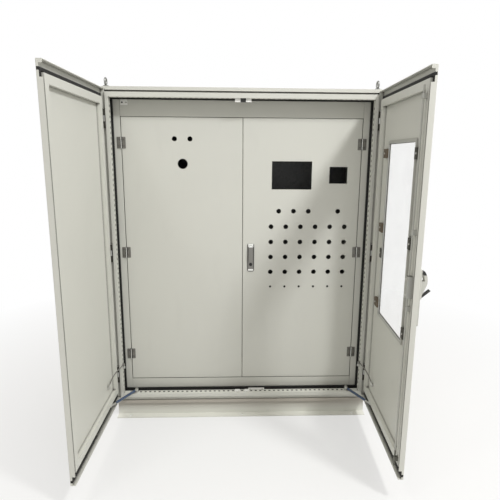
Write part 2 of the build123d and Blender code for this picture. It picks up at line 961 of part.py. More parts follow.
def lock_case():
    """Cover over the cam, open at both ends for the rods."""
    back = band_face_y + case_depth
    left, right = lock_x - case_half_width, lock_x + case_half_width
    path = [(right, band_face_y), (right, back), (left, back), (left, band_face_y)]
    return run_z(folded(path, sheet), lock_z - case_below, lock_z + case_above)


def lock_cam():
    """Two-armed cam on the end of the handle's spindle."""
    form = Pos(lock_x, lock_z) * SlotOverall(cam_length, cam_width)
    form -= disc(lock_x, lock_z, spindle_radius)
    return run_y(form, rod_y - cam_thick / 2, rod_y + cam_thick / 2)


def rod_keepers():
    """Blocks on the top and bottom rails that the rods slide behind."""
    near, far = band_face_y + keeper_clear, rod_y - rod_radius - keeper_rod_gap
    middle = lock_x - keeper_shift
    low_x, high_x = middle - keeper_width / 2, middle + keeper_width / 2
    form = rectangle((low_x, near), (high_x, far))
    upper = run_z(form, opening_top - upper_keeper_height, opening_top)
    lower = run_z(form, opening_bottom, opening_bottom + lower_keeper_height)
    return [*pair(upper), *pair(lower)]


def handle_dish():
    """Long escutcheon of the swing handle on the outside of the door."""
    high, low = lock_z + dish_above, lock_z - dish_below
    form = Pos(lock_x, (high + low) / 2) * RectangleRounded(dish_width, high - low, dish_corner)
    dish = run_y(form, dish_face_y, door_face_y)
    rim = dish.faces().sort_by(Axis.Y)[0].edges()
    dish = fillet(rim, dish_edge)
    hole = disc(lock_x, lock_z, spindle_radius + running_fit)
    return dish - run_y(hole, dish_face_y - overrun, door_face_y + overrun)


def handle_lever():
    """Swing lever: sloped nose below the pivot, finger bow above it, and the spindle."""
    seat = dish_face_y - loose_fit
    nose, tip = lock_z - lever_nose, lock_z + lever_reach
    crown_z = lock_z + lever_crown_share * lever_reach
    root_z = lock_z + lever_root_share * lever_reach
    belly_y = seat - lever_belly
    tip_y = seat - lever_tip_rise
    bow = ThreePointArc((belly_y + lever_nose_rise, lock_z), (belly_y, crown_z), (tip_y, tip))
    rest = Polyline(
        (tip_y, tip),
        (tip_y + lever_nose_rise, tip),
        (belly_y + lever_thick, crown_z),
        (seat, root_z),
        (seat, nose),
        (seat - lever_nose_rise, nose),
        (belly_y + lever_nose_rise, lock_z),
    )
    half = lever_width / 2
    lever = run_x(make_face(bow + rest), lock_x - half, lock_x + half)
    barrel_y, barrel_z = cover_hinge()
    ear = disc(barrel_y, barrel_z, cover_barrel)
    ear += rectangle((barrel_y - cover_barrel, barrel_z), (seat, nose))
    ear_start = cover_width / 2 + loose_fit
    lever += [run_x(ear, lock_x - half, lock_x - ear_start), run_x(ear, lock_x + ear_start, lock_x + half)]
    lever += run_x(disc(barrel_y, barrel_z, cover_pin), lock_x - half, lock_x + half)
    end_y = rod_y + cam_thick / 2
    return lever + run_y(disc(lock_x, lock_z, spindle_radius), seat, end_y)


def cover_hinge():
    """Place of the key cover's pin, in (y, z)."""
    return dish_face_y - loose_fit - cover_barrel, lock_z - cover_below


def key_cover():
    """Flap over the key cylinder in the lever's nose, standing half open."""
    flap = rectangle((0, -cover_thick / 2), (cover_length, cover_thick / 2))
    flap += disc(0, 0, cover_barrel)
    flap -= disc(0, 0, cover_pin + running_fit)
    placed = Pos(*cover_hinge()) * Rot(0, 0, 90 + cover_rest_angle) * flap
    return run_x(placed, lock_x - cover_width / 2, lock_x + cover_width / 2)


# Door stays
def stay_angle(door_angle):
    """Angle of the left stay's arm that keeps its far end on the door's rail."""
    turn = radians(door_angle)
    across = stay_from_hinge * sin(turn) + stay_pivot_behind_hinge * cos(turn)
    return degrees(asin((-stay_line_before_hinge - across) / stay_length)) - door_angle


def stay_pivot_place():
    """Foot of the left stay's pivot on the ledge."""
    return stay_from_hinge - hinge_x, hinge_y + stay_pivot_behind_hinge


def stay_pivot():
    """Boss on the ledge with a headed pin for the left stay."""
    seat = opening_bottom + stay_seat
    head = seat + 2 * stay_sleeve_radius
    half_section = [
        (0, opening_bottom),
        (stay_boss_radius, opening_bottom),
        (stay_boss_radius, seat),
        (stay_rod_radius, seat),
        (stay_rod_radius, head),
        (stay_head_radius, head),
        (stay_head_radius, head + stay_head),
        (0, head + stay_head),
    ]
    x, y = stay_pivot_place()
    return Pos(x, y, 0) * revolve(Plane.XZ * outline(half_section), Axis.Z)


def set_stay(shape, angle):
    """Turn a stay piece drawn along X from the pivot to its arm's angle on the left side."""
    x, y = stay_pivot_place()
    return Pos(x, y, 0) * Rot(0, 0, angle) * shape


def stay_rod():
    """Arm with an eye at the pivot and a down-turned end above the rail."""
    low, high = stay_z - stay_sleeve_radius + loose_fit, stay_z + stay_sleeve_radius - loose_fit
    eye = run_z(disc(0, 0, stay_eye_radius), low, high)
    bar = run_x(disc(0, stay_z, stay_rod_radius), 0, stay_length)
    tip_low = opening_bottom + rail_above_ledge + sheet + stay_tip_clear
    end = run_z(disc(stay_length, 0, stay_rod_radius), tip_low, stay_z + stay_rod_radius)
    bore = run_z(disc(0, 0, stay_rod_radius + running_fit), low - overrun, high + overrun)
    return eye + bar + end - bore


def stay_sleeve():
    """Sleeve over the arm."""
    ring = disc(0, stay_z, stay_sleeve_radius) - disc(0, stay_z, stay_rod_radius)
    return run_x(ring, stay_sleeve_start, stay_length - stay_sleeve_end)


def stay_rail():
    """Slotted angle low on the inside of the right door."""
    low = opening_bottom + rail_above_ledge
    edge = skin_y + rail_depth
    path = [(edge, low), (skin_y, low), (skin_y, low + rail_back)]
    first, last = hinge_x - rail_end, hinge_x - rail_start
    rail = run_x(folded(list(reversed(path)), sheet), first, last)
    slot_y = hinge_y - stay_line_before_hinge
    slot = Pos((first + last) / 2, slot_y) * SlotOverall(
        rail_end - rail_start - 2 * rail_slot_margin, rail_slot_width
    )
    return rail - run_z(slot, low - overrun, low + sheet + overrun)


# Earth straps
def door_place(side, reach, inward, z):
    """A place on a door at rest, from its hinge along the door and inwards from the hinge."""
    turn = radians(right_rest_angle if side > 0 else left_rest_angle)
    x = side * (hinge_x - reach * cos(turn) - inward * sin(turn))
    y = hinge_y - reach * sin(turn) + inward * cos(turn)
    return x, y, z


def earth_strap(side):
    """Flexible lead from the post's stud to the door's stud."""
    stud_y = (lip_y + return_y) / 2
    stud_z = opening_bottom + earth_post_share * opening_height
    route = [
        (side * (opening_half - inward), stud_y - forward, stud_z + up)
        for inward, forward, up in strap_frame_route
    ]
    route += [door_place(side, *place) for place in strap_door_route]
    points = [Vector(*place) for place in route]
    runs = [after - before for before, after in zip(points, points[1:])]
    radii = []
    for before, after in zip(runs, runs[1:]):
        half_turn = radians(before.get_angle(after)) / 2
        radii.append(strap_corner_share * min(before.length, after.length) / tan(half_turn))
    path = FilletPolyline(*route, radius=radii)
    start = Plane(origin=path @ 0, z_dir=path % 0)
    strap = sweep(start * Circle(strap_radius), path=path)
    print("earth strap", side, "radii", [round(radius) for radius in radii])
    print("earth strap length", round(path.length, 1), "volume", round(strap.volume))
    return strap


# Plates screwed to the frame
def keeper_plate():
    """Drilled plate behind the edge of the bottom ledge."""
    low = opening_bottom + keeper_plate_lap - keeper_plate_height
    high = opening_bottom + keeper_plate_lap
    first, last = keeper_plate_start, keeper_plate_start + keeper_plate_width
    form = rectangle((first, low), (last, high))
    for x in (first + plate_hole_inset, last - plate_hole_inset):
        form -= disc(x, high - plate_hole_inset, plate_hole_radius)
    return run_y(form, return_y, return_y + sheet)


def corner_plate():
    """Drilled and slotted plate high on the left of the inner frame."""
    x = corner_plate_inset - frame_in_x
    middle = frame_top_z - corner_plate_height / 2
    form = Pos(x, middle) * Rectangle(corner_plate_width, corner_plate_height)
    form -= disc(x - plate_hole_inset, middle, plate_hole_radius)
    form -= Pos(x + plate_hole_inset, middle) * SlotOverall(corner_slot_long, corner_slot_wide)
    return run_y(form, inner_y - sheet, inner_y)


# Assembly
frame_sill, frame_right, frame_head, frame_left = front_frame()
fixed_leaves, moving_leaves = inner_hinges()
left_stay_angle = stay_angle(left_rest_angle)
right_stay_angle = stay_angle(right_rest_angle)
front_rail = plinth_cross_rail()
nodes = {
    "plinth_cross_rails": [front_rail, front_rail.mirror(Plane.XZ)],
    "plinth_side_rails": pair(plinth_side_rail()),
    "front_post_left": [frame_left],
    "front_post_right": [frame_right],
    "front_rail_top": [frame_head],
    "front_rail_bottom": [frame_sill],
    "side_panel_left": [mirrored(side_panel())],
    "side_panel_right": [side_panel()],
    "roof_panel": [roof_panel()],
    "floor_panel": [capping_panel(base_z, 1)],
    "rear_panel": [rear_panel()],
    "mounting_plate": [mounting_plate()],
    "lifting_eyes": [lifting_eye(x, y) for x, y in eye_places()],
    "inner_frame_left": [mirrored(inner_frame_upright())],
    "inner_frame_right": [inner_frame_upright()],
    "inner_frame_top": [inner_frame_cross(frame_top_z - inner_frame_top, frame_top_z)],
    "inner_frame_bottom": [inner_frame_cross(frame_bottom_z, frame_bottom_z + inner_frame_bottom)],
    "inner_frame_brackets": [piece for share in bracket_shares for piece in pair(inner_frame_bracket(share))],
    "screwed_plates": [keeper_plate(), corner_plate()],
    "rod_keepers": rod_keepers(),
    "outer_hinge_lugs": [piece for lug in hinge_lugs() for piece in pair(lug)],
    "outer_hinge_pins": [piece for pin in hinge_pins() for piece in pair(pin)],
    "inner_hinge_fixed_leaves": [piece for leaf in fixed_leaves for piece in pair(leaf)],
    "stay_pivots": pair(stay_pivot()),
    "left_earth_strap": [earth_strap(-1)],
    "right_earth_strap": [earth_strap(1)],
    "left_door_panel": [swung(door_panel(), -1)],
    "left_door_stiffeners": [swung(channel, -1) for channel in door_stiffeners()],
    "left_door_gasket": [swung(door_gasket(), -1)],
    "left_door_hinge_leaves": [swung(leaf, -1) for leaf in hinge_leaves()],
    "left_stay_rail": [swung(stay_rail(), -1)],
    "right_door_panel": [swung(right_door_panel(), 1)],
    "right_door_stiffeners": [swung(channel, 1) for channel in right_door_stiffeners()],
    "right_door_gasket": [swung(door_gasket(), 1)],
    "right_door_hinge_leaves": [swung(leaf, 1) for leaf in hinge_leaves()],
    "right_stay_rail": [swung(stay_rail(), 1)],
    "window_pane": [swung(window_pane(), 1)],
    "window_frame": [swung(angle, 1) for angle in window_frame()],
    "window_clips": [swung(clip, 1) for clip in window_clips()],
    "window_blocks": [swung(block, 1) for block in window_blocks()],
    "handle_dish": [swung(handle_dish(), 1)],
    "handle_lever": [swung(handle_lever(), 1)],
    "key_cover": [swung(key_cover(), 1)],
    "lock_cam": [swung(lock_cam(), 1)],
    "lock_case": [swung(lock_case(), 1)],
    "rod_guides": [swung(guide, 1) for guide in rod_guides()],
    "upper_rod": [swung(rod(lock_z + rod_start, rod_top), 1)],
    "lower_rod": [swung(rod(rod_bottom, lock_z - rod_start), 1)],
    "left_stay_rod": [set_stay(stay_rod(), left_stay_angle)],
    "left_stay_sleeve": [set_stay(stay_sleeve(), left_stay_angle)],
    "right_stay_rod": [mirrored(set_stay(stay_rod(), right_stay_angle))],
    "right_stay_sleeve": [mirrored(set_stay(stay_sleeve(), right_stay_angle))],
    "left_inner_panel": [left_inner_panel()],
    "left_inner_hinge_leaves": [mirrored(leaf) for leaf in moving_leaves],
    "right_inner_panel": [right_inner_panel()],
    "right_inner_hinge_leaves": moving_leaves,
    "inner_handle_housing": [inner_handle_housing()],
    "inner_handle_lever": [inner_handle_lever()],
    "inner_handle_tongue": [inner_handle_tongue()],
}

os.makedirs("parts", exist_ok=True)
for name, pieces in nodes.items():
    solids = [solid for piece in pieces for solid in piece.solids()]
    export_step(solids[0] if len(solids) == 1 else Compound(solids), f"parts/{name}.step")
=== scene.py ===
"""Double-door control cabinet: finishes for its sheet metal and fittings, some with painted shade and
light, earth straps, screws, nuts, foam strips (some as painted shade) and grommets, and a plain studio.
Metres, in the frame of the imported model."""
import json
import math

import bmesh
import bpy
from mathutils import Matrix, Vector


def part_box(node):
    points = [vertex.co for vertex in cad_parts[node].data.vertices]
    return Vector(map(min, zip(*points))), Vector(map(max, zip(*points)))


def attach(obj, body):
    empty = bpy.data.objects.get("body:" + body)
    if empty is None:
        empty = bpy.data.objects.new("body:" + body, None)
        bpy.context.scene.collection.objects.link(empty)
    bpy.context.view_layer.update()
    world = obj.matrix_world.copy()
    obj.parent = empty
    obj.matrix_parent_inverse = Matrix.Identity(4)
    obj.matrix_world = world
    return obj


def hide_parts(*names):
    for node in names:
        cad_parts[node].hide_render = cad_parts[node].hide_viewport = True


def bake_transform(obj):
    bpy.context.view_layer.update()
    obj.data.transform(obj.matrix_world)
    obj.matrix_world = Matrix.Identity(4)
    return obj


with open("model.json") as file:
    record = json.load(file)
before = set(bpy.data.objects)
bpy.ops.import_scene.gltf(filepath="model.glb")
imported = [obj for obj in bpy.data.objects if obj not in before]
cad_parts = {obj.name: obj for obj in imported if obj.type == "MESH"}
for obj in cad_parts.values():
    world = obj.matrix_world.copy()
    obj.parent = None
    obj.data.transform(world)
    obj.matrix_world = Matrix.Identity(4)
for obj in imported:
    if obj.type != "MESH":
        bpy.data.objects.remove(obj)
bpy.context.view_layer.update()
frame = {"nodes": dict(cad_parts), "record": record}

bl_info = {
    "name": "Double-door control cabinet",
    "version": (1, 0, 0),
    "blender": (4, 5, 0),
    "location": "View3D > Sidebar > Cabinet",
    "description": "Dresses the packed cabinet with finishes, straps, screws and a studio",
    "category": "Object",
}

# Ways that a piece may face
FORWARD, BACKWARD = (0.0, -1.0, 0.0), (0.0, 1.0, 0.0)

# Words and bodies by side: 1 is the right and -1 the left
SIDE_WORD = {1: "right", -1: "left"}
DOOR_BODY = {1: "right_outer_door", -1: "left_outer_door"}
INNER_BODY = {1: "right_inner_door", -1: "left_inner_door"}

# Outer doors: line of the hinges, turn at rest and inner face of the sheet when shut
HINGE_X, HINGE_Y = 0.6025, -0.210
REST_TURN = {1: math.radians(87.0), -1: math.radians(-91.2)}
DOOR_SKIN_Y = -0.222

# Earth straps: studs on post (y, z) and shut door (x, z), and the route as steps inward, forward and
# up from the post's stud, then as reach and depth from the hinge and height on the shut door
POST_FACE_X = 0.580
POST_STUD = (-0.199, 0.25247)
DOOR_STUD = (0.4725, 0.220)
STRAP_ON_FRAME = [(0.005, 0.001, 0.0045), (0.006, 0.003, 0.024), (0.004, 0.046, 0.024)]
STRAP_ON_DOOR = [(0.104, 0.0200, 0.284), (0.128, 0.0040, 0.256), (0.1295, -0.007, 0.2245)]
LUG_LIFT, TOP_NUT_LIFT = 0.005, 0.0058
LUG_THICK, LUG_BORE, CRIMP_OVERLAP = 0.0016, 0.0041, 0.003

# Inner doors: hinges and their screws, with painted shade and a painted highlight along each pin,
# handle and its painted shade and highlights, row of small holes
INNER_HINGE_X, INNER_LEAF_Y = 0.54875, -0.146
INNER_HINGE_Z = (0.30004, 0.81317, 1.31997)
LEAF_SCREW_OUT, LEAF_SCREW_STEP = 0.0115, 0.014
# Half widths of the painted shade and of the painted highlight along each inner hinge's pin
PIN_SHADE_HALF, PIN_HIGHLIGHT_HALF = 0.0046, 0.0017
INNER_LATCH, KEY_BELOW_LATCH = (0.0395, 0.836), 0.082
KEY_DEEP = 0.0012
# Heights of the painted highlights at the handle plate's top and foot, and width of its rim of painted
# shade
HIGHLIGHT_TOP, HIGHLIGHT_FOOT, HANDLE_RIM = 0.016, 0.011, 0.0032
GROMMET_X, GROMMET_SHARE = (0.135, 0.205, 0.275, 0.345, 0.415, 0.485), 0.375691

# Window and lock on the shut right door
CLIP_PLACES = (
    (0.1105, -0.213, 1.2779), (0.1105, -0.213, 0.9624), (0.1105, -0.213, 0.6243),
    (0.4735, -0.213, 0.8541),
)
BLOCK_PLACES = ((0.486, -0.210, 1.2794), (0.486, -0.210, 0.9639), (0.486, -0.210, 0.6258))
LOCK_X, LOCK_Z, LOCK_CASE_Y = 0.031, 0.82824, -0.186
COVER_SCREW_STEP, LEVER_TIP = 0.029, 0.044

# Rear panel, mounting plate and corner plate
REAR_FACE_Y, REAR_SCREW = 0.200, 1.9
REAR_SIDES_X, REAR_SIDES_Z = (-0.598, 0.598), (0.11, 0.35, 0.59, 0.83, 1.07, 1.31, 1.525)
REAR_ENDS_X, REAR_ENDS_Z = (-0.45, -0.225, 0.0, 0.225, 0.45), (0.092, 1.543)
PLATE_FACE_Y = 0.1495
PLATE_STUDS_X, PLATE_STUDS_Z = (-0.5, 0.5), (0.19, 0.8175, 1.445)
CORNER_SCREW = (0.007, 0.0125)

# Foam seal strips round the inner frame, which also darken its gap as painted shade; black strips
# behind the frame's slots as painted shade; and the stop between the top keepers, by their opposite
# corners
SEAL_AND_SHADE_STRIPS = (
    ((0.5790, -0.1470, 0.117), (0.6070, -0.1450, 1.507)),
    ((-0.6070, -0.1470, 0.117), (-0.5790, -0.1450, 1.507)),
    ((-0.6070, -0.1470, 0.090), (0.6070, -0.1450, 0.116)),
    ((-0.6070, -0.1470, 1.508), (0.6070, -0.1450, 1.545)),
)
SLOT_SHADE_STRIPS = (
    ((0.5822, -0.2040, 0.130), (0.5842, -0.1860, 1.500)),
    ((-0.5842, -0.2040, 0.130), (-0.5822, -0.1860, 1.500)),
    ((-0.5700, -0.2040, 0.1158), (0.5700, -0.1860, 0.1178)),
    ((-0.5700, -0.2040, 1.5122), (0.5700, -0.1860, 1.5142)),
)
BRIDGE_FROM, BRIDGE_TO = (-0.0115, -0.205, 1.494), (0.0115, -0.1995, 1.510)
BRIDGE_RIM, BRIDGE_DISH, BRIDGE_ROUND = 0.0022, 0.0014, 0.0008

# Heights at which one finish changes its tone, paints shade on the plinth or paints floor light at the
# foot, and reach of the painted shade in folds and joints
EYE_FOOT_Z, LOCK_FOOT_Z, PLINTH_TOP, FLANGE_TOP = 1.553, 0.200, 0.081, 0.014
# Painted shade on the plinth grows between the first two heights; painted floor light lightens the
# paint below the third
PLINTH_SHADE_FROM, PLINTH_SHADE_FULL, BOUNCE_LIGHT_TO = 0.020, 0.065, 0.045
FOLD_SHADE_REACH, JOINT_SHADE_REACH = 0.014, 0.006

# Studio
FLOOR_SIZE, FLOOR_Z = 40.0, -0.0003
SHADOW_REACH, FADE_FROM, FADE_FULL = 0.030, 0.8, 2.4
LAMP_LEFT_PLACE, LAMP_RIGHT_PLACE = (-1.8, -2.2, 3.9), (2.0, -2.3, 3.9)
LAMP_TARGET = (0.0, -0.15, 0.75)


def shade(name, text, colour):
    """A colour that a user may change."""
    return bpy.props.FloatVectorProperty(
        name=name, description=text, subtype="COLOR", size=3, min=0.0, max=1.0, default=colour
    )


def length(name, text, size):
    """A length in metres that a user may change."""
    return bpy.props.FloatProperty(
        name=name, description=text, default=size, min=0.0001, precision=4,
        unit="LENGTH", subtype="DISTANCE",
    )


def angle(name, text, degrees):
    """An angle that a user may change."""
    return bpy.props.FloatProperty(
        name=name, description=text, default=math.radians(degrees), subtype="ANGLE"
    )


def amount(name, text, value, unit="NONE"):
    """A strength, a power or a focal length that a user may change."""
    return bpy.props.FloatProperty(name=name, description=text, default=value, min=0.0, unit=unit)


class CabinetFinishes(bpy.types.PropertyGroup):
    """Colours of the cabinet's surfaces."""

    paint: shade("Paint", "Textured powder coat on all sheet metal", (0.640, 0.642, 0.592))
    # Painted shade: this colour tints the painted shade in folds and joints and on the plinth's upright
    # faces
    shade_tint: shade("Plinth dust", "Warm dust on the upright faces of the plinth", (0.40, 0.36, 0.31))
    hinge: shade("Hinges", "Outer hinge lugs and window clips", (0.062, 0.058, 0.048))
    zinc: shade("Zinc plate", "Screws, nuts, pins, stays and lifting eyes", (0.60, 0.60, 0.57))
    galvanised: shade("Galvanised", "Mounting plate", (0.17, 0.172, 0.17))
    stainless: shade("Stainless", "Inner hinges and inner handle", (0.25, 0.242, 0.222))
    sleeve: shade("Stay sleeve", "Sleeves on the door stays", (0.028, 0.058, 0.125))
    rail: shade("Stay rail", "Slotted rails of the door stays", (0.17, 0.17, 0.145))
    # Also the colour of black strips that stand in for shade: behind the frame's slots, and with the
    # seal round the inner frame's gap
    rubber: shade("Seal", "Foamed door seals and foam strips", (0.011, 0.011, 0.010))
    pane: shade("Pane", "Clear window pane", (0.93, 0.95, 0.95))
    angle: shade("Window angle", "Angles round the window pane", (0.52, 0.52, 0.49))
    block: shade("Clamp block", "Clamp blocks beside the window", (0.105, 0.078, 0.050))
    moulding: shade("Black moulding", "Key cover, lever tip, stop and grommets", (0.018, 0.018, 0.017))
    sheath: shade("Strap sheath", "Earth straps", (0.19, 0.185, 0.17))
    keeper: shade("Keeper", "Rod keepers and drilled plates", (0.86, 0.86, 0.83))


class CabinetFittings(bpy.types.PropertyGroup):
    """Sizes of the small fittings."""

    strap_thick: length("Strap thickness", "Diameter of an earth strap", 0.005)
    screw_head: length("Screw head", "Radius of a pan head", 0.0036)
    screw_rise: length("Screw rise", "Height of a pan head", 0.0022)
    nut_across: length("Nut", "Radius over the corners of a nut", 0.0058)
    nut_rise: length("Nut rise", "Height of a nut", 0.0036)
    lug_ring: length("Lug ring", "Outer radius of a ring lug", 0.0064)
    crimp_long: length("Crimp", "Length of a ring lug's crimped barrel", 0.017)
    key_face: length("Key face", "Radius of a key cylinder's face", 0.0076)
    grommet_rim: length("Grommet", "Outer radius of a grommet", 0.0054)
    grommet_rise: length("Grommet rise", "Height of a grommet", 0.0010)


class CabinetStudio(bpy.types.PropertyGroup):
    """Camera, lamps and floor."""

    lens: amount("Lens", "Focal length", 32.30, "CAMERA")
    eye: bpy.props.FloatVectorProperty(
        name="Eye", description="Place of the camera", default=(-0.0402, -2.2419, 1.2653),
        subtype="TRANSLATION",
    )
    yaw: angle("Yaw", "Turn to the right", 2.08)
    pitch: angle("Pitch", "Tilt upwards", -11.49)
    roll: angle("Roll", "Turn about the line of sight", 0.41)
    rise: bpy.props.FloatProperty(
        name="Rise", description="Upward shift of the lens", default=-0.0058, subtype="FACTOR"
    )
    horizon: amount("Horizon", "Strength of the light from the sides", 0.28)
    zenith: amount("Zenith", "Strength of the light from above", 1.70)
    lamp_left: amount("Left lamp", "Power of the ceiling lamp on the left", 12.0, "POWER")
    lamp_right: amount("Right lamp", "Power of the ceiling lamp on the right", 104.0, "POWER")
    lamp_size: length("Lamp size", "Width of a ceiling lamp", 0.55)
    glow: shade("Glow", "Colour of the light from all round", (1.0, 0.97, 0.92))
    floor: shade("Floor", "Pale studio floor", (0.72, 0.72, 0.71))


class Wire:
    """A shader socket that takes part in sums: each sign adds one Math node."""

    def __init__(self, finish, socket):
        self.finish, self.socket = finish, socket

    def sum(self, operation, first, second):
        return self.finish.node("ShaderNodeMath", {"operation": operation}, {0: first, 1: second})

    def __add__(self, other):
        return self.sum("ADD", self, other)

    def __sub__(self, other):
        return self.sum("SUBTRACT", self, other)

    def __rsub__(self, other):
        return self.sum("SUBTRACT", other, self)

    def __mul__(self, other):
        return self.sum("MULTIPLY", self, other)

    def __abs__(self):
        return self.sum("ABSOLUTE", self, 0.0)

    def __gt__(self, other):
        return self.sum("GREATER_THAN", self, other)

    def __lt__(self, other):
        return self.sum("LESS_THAN", self, other)

    __radd__, __rmul__ = __add__, __mul__


class Finish:
    """A surface made of nodes that read the piece's Object coordinates."""

    def __init__(self, tree):
        self.tree = tree
        tree.nodes.clear()
        self.place = self.node("ShaderNodeTexCoord", out="Object")

    def node(self, kind, settings=(), sockets=(), out=0):
        """Adds a node: its settings first, then the values or links of its sockets."""
        made = self.tree.nodes.new(kind)
        for key, value in dict(settings).items():
            setattr(made, key, value)
        for key, value in dict(sockets).items():
            if isinstance(value, Wire):
                self.tree.links.new(value.socket, made.inputs[key])
            else:
                made.inputs[key].default_value = value
        return Wire(self, made.outputs[out]) if len(made.outputs) else made

    def cloud(self, scale, detail, stretch=(1.0, 1.0, 1.0)):
        """Soft noise about 0.5, with its cells pulled long by the stretch."""
        where = self.node("ShaderNodeMapping", {}, {"Vector": self.place, "Scale": stretch})
        sockets = {"Vector": where, "Scale": scale, "Detail": detail}
        return self.node("ShaderNodeTexNoise", {}, sockets)

    def ramp(self, value, low, high):
        """The value's part between two levels, spread from 0 to 1."""
        sockets = {"Value": value, "From Min": low, "From Max": high}
        return self.node("ShaderNodeMapRange", {}, sockets)

    @staticmethod
    def within(value, low, high):
        """1 where the value lies between two levels, and 0 elsewhere."""
        return (value > low) * (value < high)

    def blend(self, share, first, second):
        """Mix of two colours."""
        sockets = {0: share, 6: first, 7: second}
        return self.node("ShaderNodeMix", {"data_type": "RGBA"}, sockets, out=2)

    def mottle(self, share, colour, first, second):
        """One colour between two tones of it."""
        return self.blend(share, tone(colour, first), tone(colour, second))

    def bump(self, height, strength, depth):
        """Surface relief from a height."""
        sockets = {"Height": height, "Strength": strength, "Distance": depth}
        return self.node("ShaderNodeBump", {}, sockets)

    def nook(self, reach):
        """1 in the open and 0 deep in the hollow between two faces."""
        sockets = {"Distance": reach}
        return self.node("ShaderNodeAmbientOcclusion", {"samples": 8}, sockets, out="AO")

    def axis(self, letter):
        """One Object coordinate."""
        return self.node("ShaderNodeSeparateXYZ", {}, {0: self.place}, out=letter)

    def close(self, looks):
        """Ends the surface in one Principled shader."""
        surface = self.node("ShaderNodeBsdfPrincipled", {}, looks)
        self.node("ShaderNodeOutputMaterial", {}, {"Surface": surface})


def tone(colour, factor=1.0):
    """A colour made lighter or darker, with its alpha."""
    return (*(min(1.0, part * factor) for part in colour), 1.0)


# Finishes
def powder_coat(finish, colours):
    """Textured powder coat: fine orange peel, faint clouds and handling marks, with painted shade in
    folds, in joints and on the plinth's upright faces, and painted floor light at the foot.
    """
    peel = finish.cloud(520.0, 3.0)
    drift = finish.cloud(2.2, 3.0)
    marks = finish.ramp(finish.cloud(14.0, 6.0, (1.0, 1.0, 0.35)), 0.56, 0.74)
    ground = finish.mottle(drift, colours.paint, 0.965, 1.035)
    worn = finish.blend(marks * 0.10, ground, tone(colours.paint, 0.80))
    foot = finish.axis("Z")
    # Painted shade: the paint darkens towards a dark tone of the shade colour in folds and joints,
    # found by ambient occlusion; the flange below FLANGE_TOP is left out
    fold_shade = finish.ramp(finish.nook(FOLD_SHADE_REACH), 0.25, 0.80) + (foot < FLANGE_TOP)
    # Painted shade: the plinth's upright faces turn towards the shade colour, darker towards their top
    plinth_shade = finish.ramp(foot, PLINTH_SHADE_FROM, PLINTH_SHADE_FULL) * (foot < PLINTH_TOP) * 0.80
    # Painted light: the paint grows lighter towards the foot, as if lit from the floor
    bounce_lit = finish.blend(finish.ramp(foot, BOUNCE_LIGHT_TO, 0.0), worn, tone(colours.paint, 1.18))
    shade_tint = finish.blend(plinth_shade, bounce_lit, tone(colours.shade_tint))
    finish.close({
        "Base Color": finish.blend(fold_shade, tone(colours.shade_tint, 0.20), shade_tint),
        "Roughness": 0.40 + peel * 0.12 - marks * 0.06,
        "Normal": finish.bump(peel, 0.22, 0.0004),
    })


def cast_hinge(finish, colours):
    """Die-cast hinge metal under a dull coat, rubbed brighter here and there."""
    grain = finish.cloud(900.0, 2.0)
    rub = finish.ramp(finish.cloud(60.0, 4.0), 0.52, 0.70)
    finish.close({
        "Base Color": finish.mottle(rub * 0.35, colours.hinge, 0.85, 1.45),
        "Roughness": 0.55 - rub * 0.15 + grain * 0.05,
        "Normal": finish.bump(grain, 0.30, 0.0003),
    })


def zinc_plate(finish, colours):
    """Bright zinc plate with a cloudy passivated film, duller on the lifting eyes."""
    film = finish.cloud(45.0, 4.0)
    scratch = finish.cloud(260.0, 3.0, (1.0, 1.0, 0.12))
    bright = finish.mottle(film, colours.zinc, 0.86, 1.14)
    eyes = finish.axis("Z") > EYE_FOOT_Z
    finish.close({
        "Base Color": finish.blend(eyes, bright, tone(colours.zinc, 0.50)),
        "Metallic": 1.0,
        "Roughness": 0.24 + film * 0.14 + scratch * 0.06,
        "Normal": finish.bump(scratch, 0.12, 0.0002),
    })


def galvanised_sheet(finish, colours):
    """Galvanised sheet with its patchwork of zinc crystals."""
    cells = {"Vector": finish.place, "Scale": 70.0, "Randomness": 1.0}
    crystal = finish.node("ShaderNodeTexVoronoi", {"feature": "F1"}, cells, out="Color")
    facet = finish.node("ShaderNodeRGBToBW", {}, {0: crystal})
    fine = finish.cloud(600.0, 2.0)
    finish.close({
        "Base Color": finish.mottle(facet, colours.galvanised, 0.80, 1.20),
        "Metallic": 0.45,
        "Roughness": 0.40 + facet * 0.20 + fine * 0.05,
        "Normal": finish.bump(fine, 0.10, 0.0002),
    })


def handle_shade_and_highlights(finish, colours, ground):
    """Painted shade on the rim and painted highlights at the ends of the inner handle's plate, over a
    ground colour.
    """
    low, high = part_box("inner_handle_housing")
    height, across = finish.axis("Z"), finish.axis("X")
    below_top = height < high.z + HANDLE_RIM
    flat = finish.within(across, low.x + HANDLE_RIM, high.x - HANDLE_RIM)
    inside = flat * (height > low.z + HANDLE_RIM)
    # Painted highlights near the plate's top and foot; painted shade on its rim
    ends = (height > high.z - HIGHLIGHT_TOP) + (height < low.z + HIGHLIGHT_FOOT)
    rim = finish.within(across, low.x - HANDLE_RIM, high.x + HANDLE_RIM) * (1.0 - inside)
    toned = finish.blend(rim * below_top, ground, tone(colours.stainless, 0.25))
    return finish.blend(inside * ends * below_top, toned, tone(colours.zinc, 1.5))


def pin_shade_and_highlight(finish, colours, ground):
    """Painted highlight along the inner hinges' pins between bands of painted shade, over a ground
    colour.
    """
    out = abs(finish.axis("X")) - INNER_HINGE_X
    pin_shade = finish.within(out, -PIN_SHADE_HALF, PIN_SHADE_HALF)
    pin_highlight = finish.within(out, -PIN_HIGHLIGHT_HALF, PIN_HIGHLIGHT_HALF)
    pin_shaded = finish.blend(pin_shade, ground, tone(colours.stainless, 0.20))
    return finish.blend(pin_highlight, pin_shaded, tone(colours.zinc, 1.4))


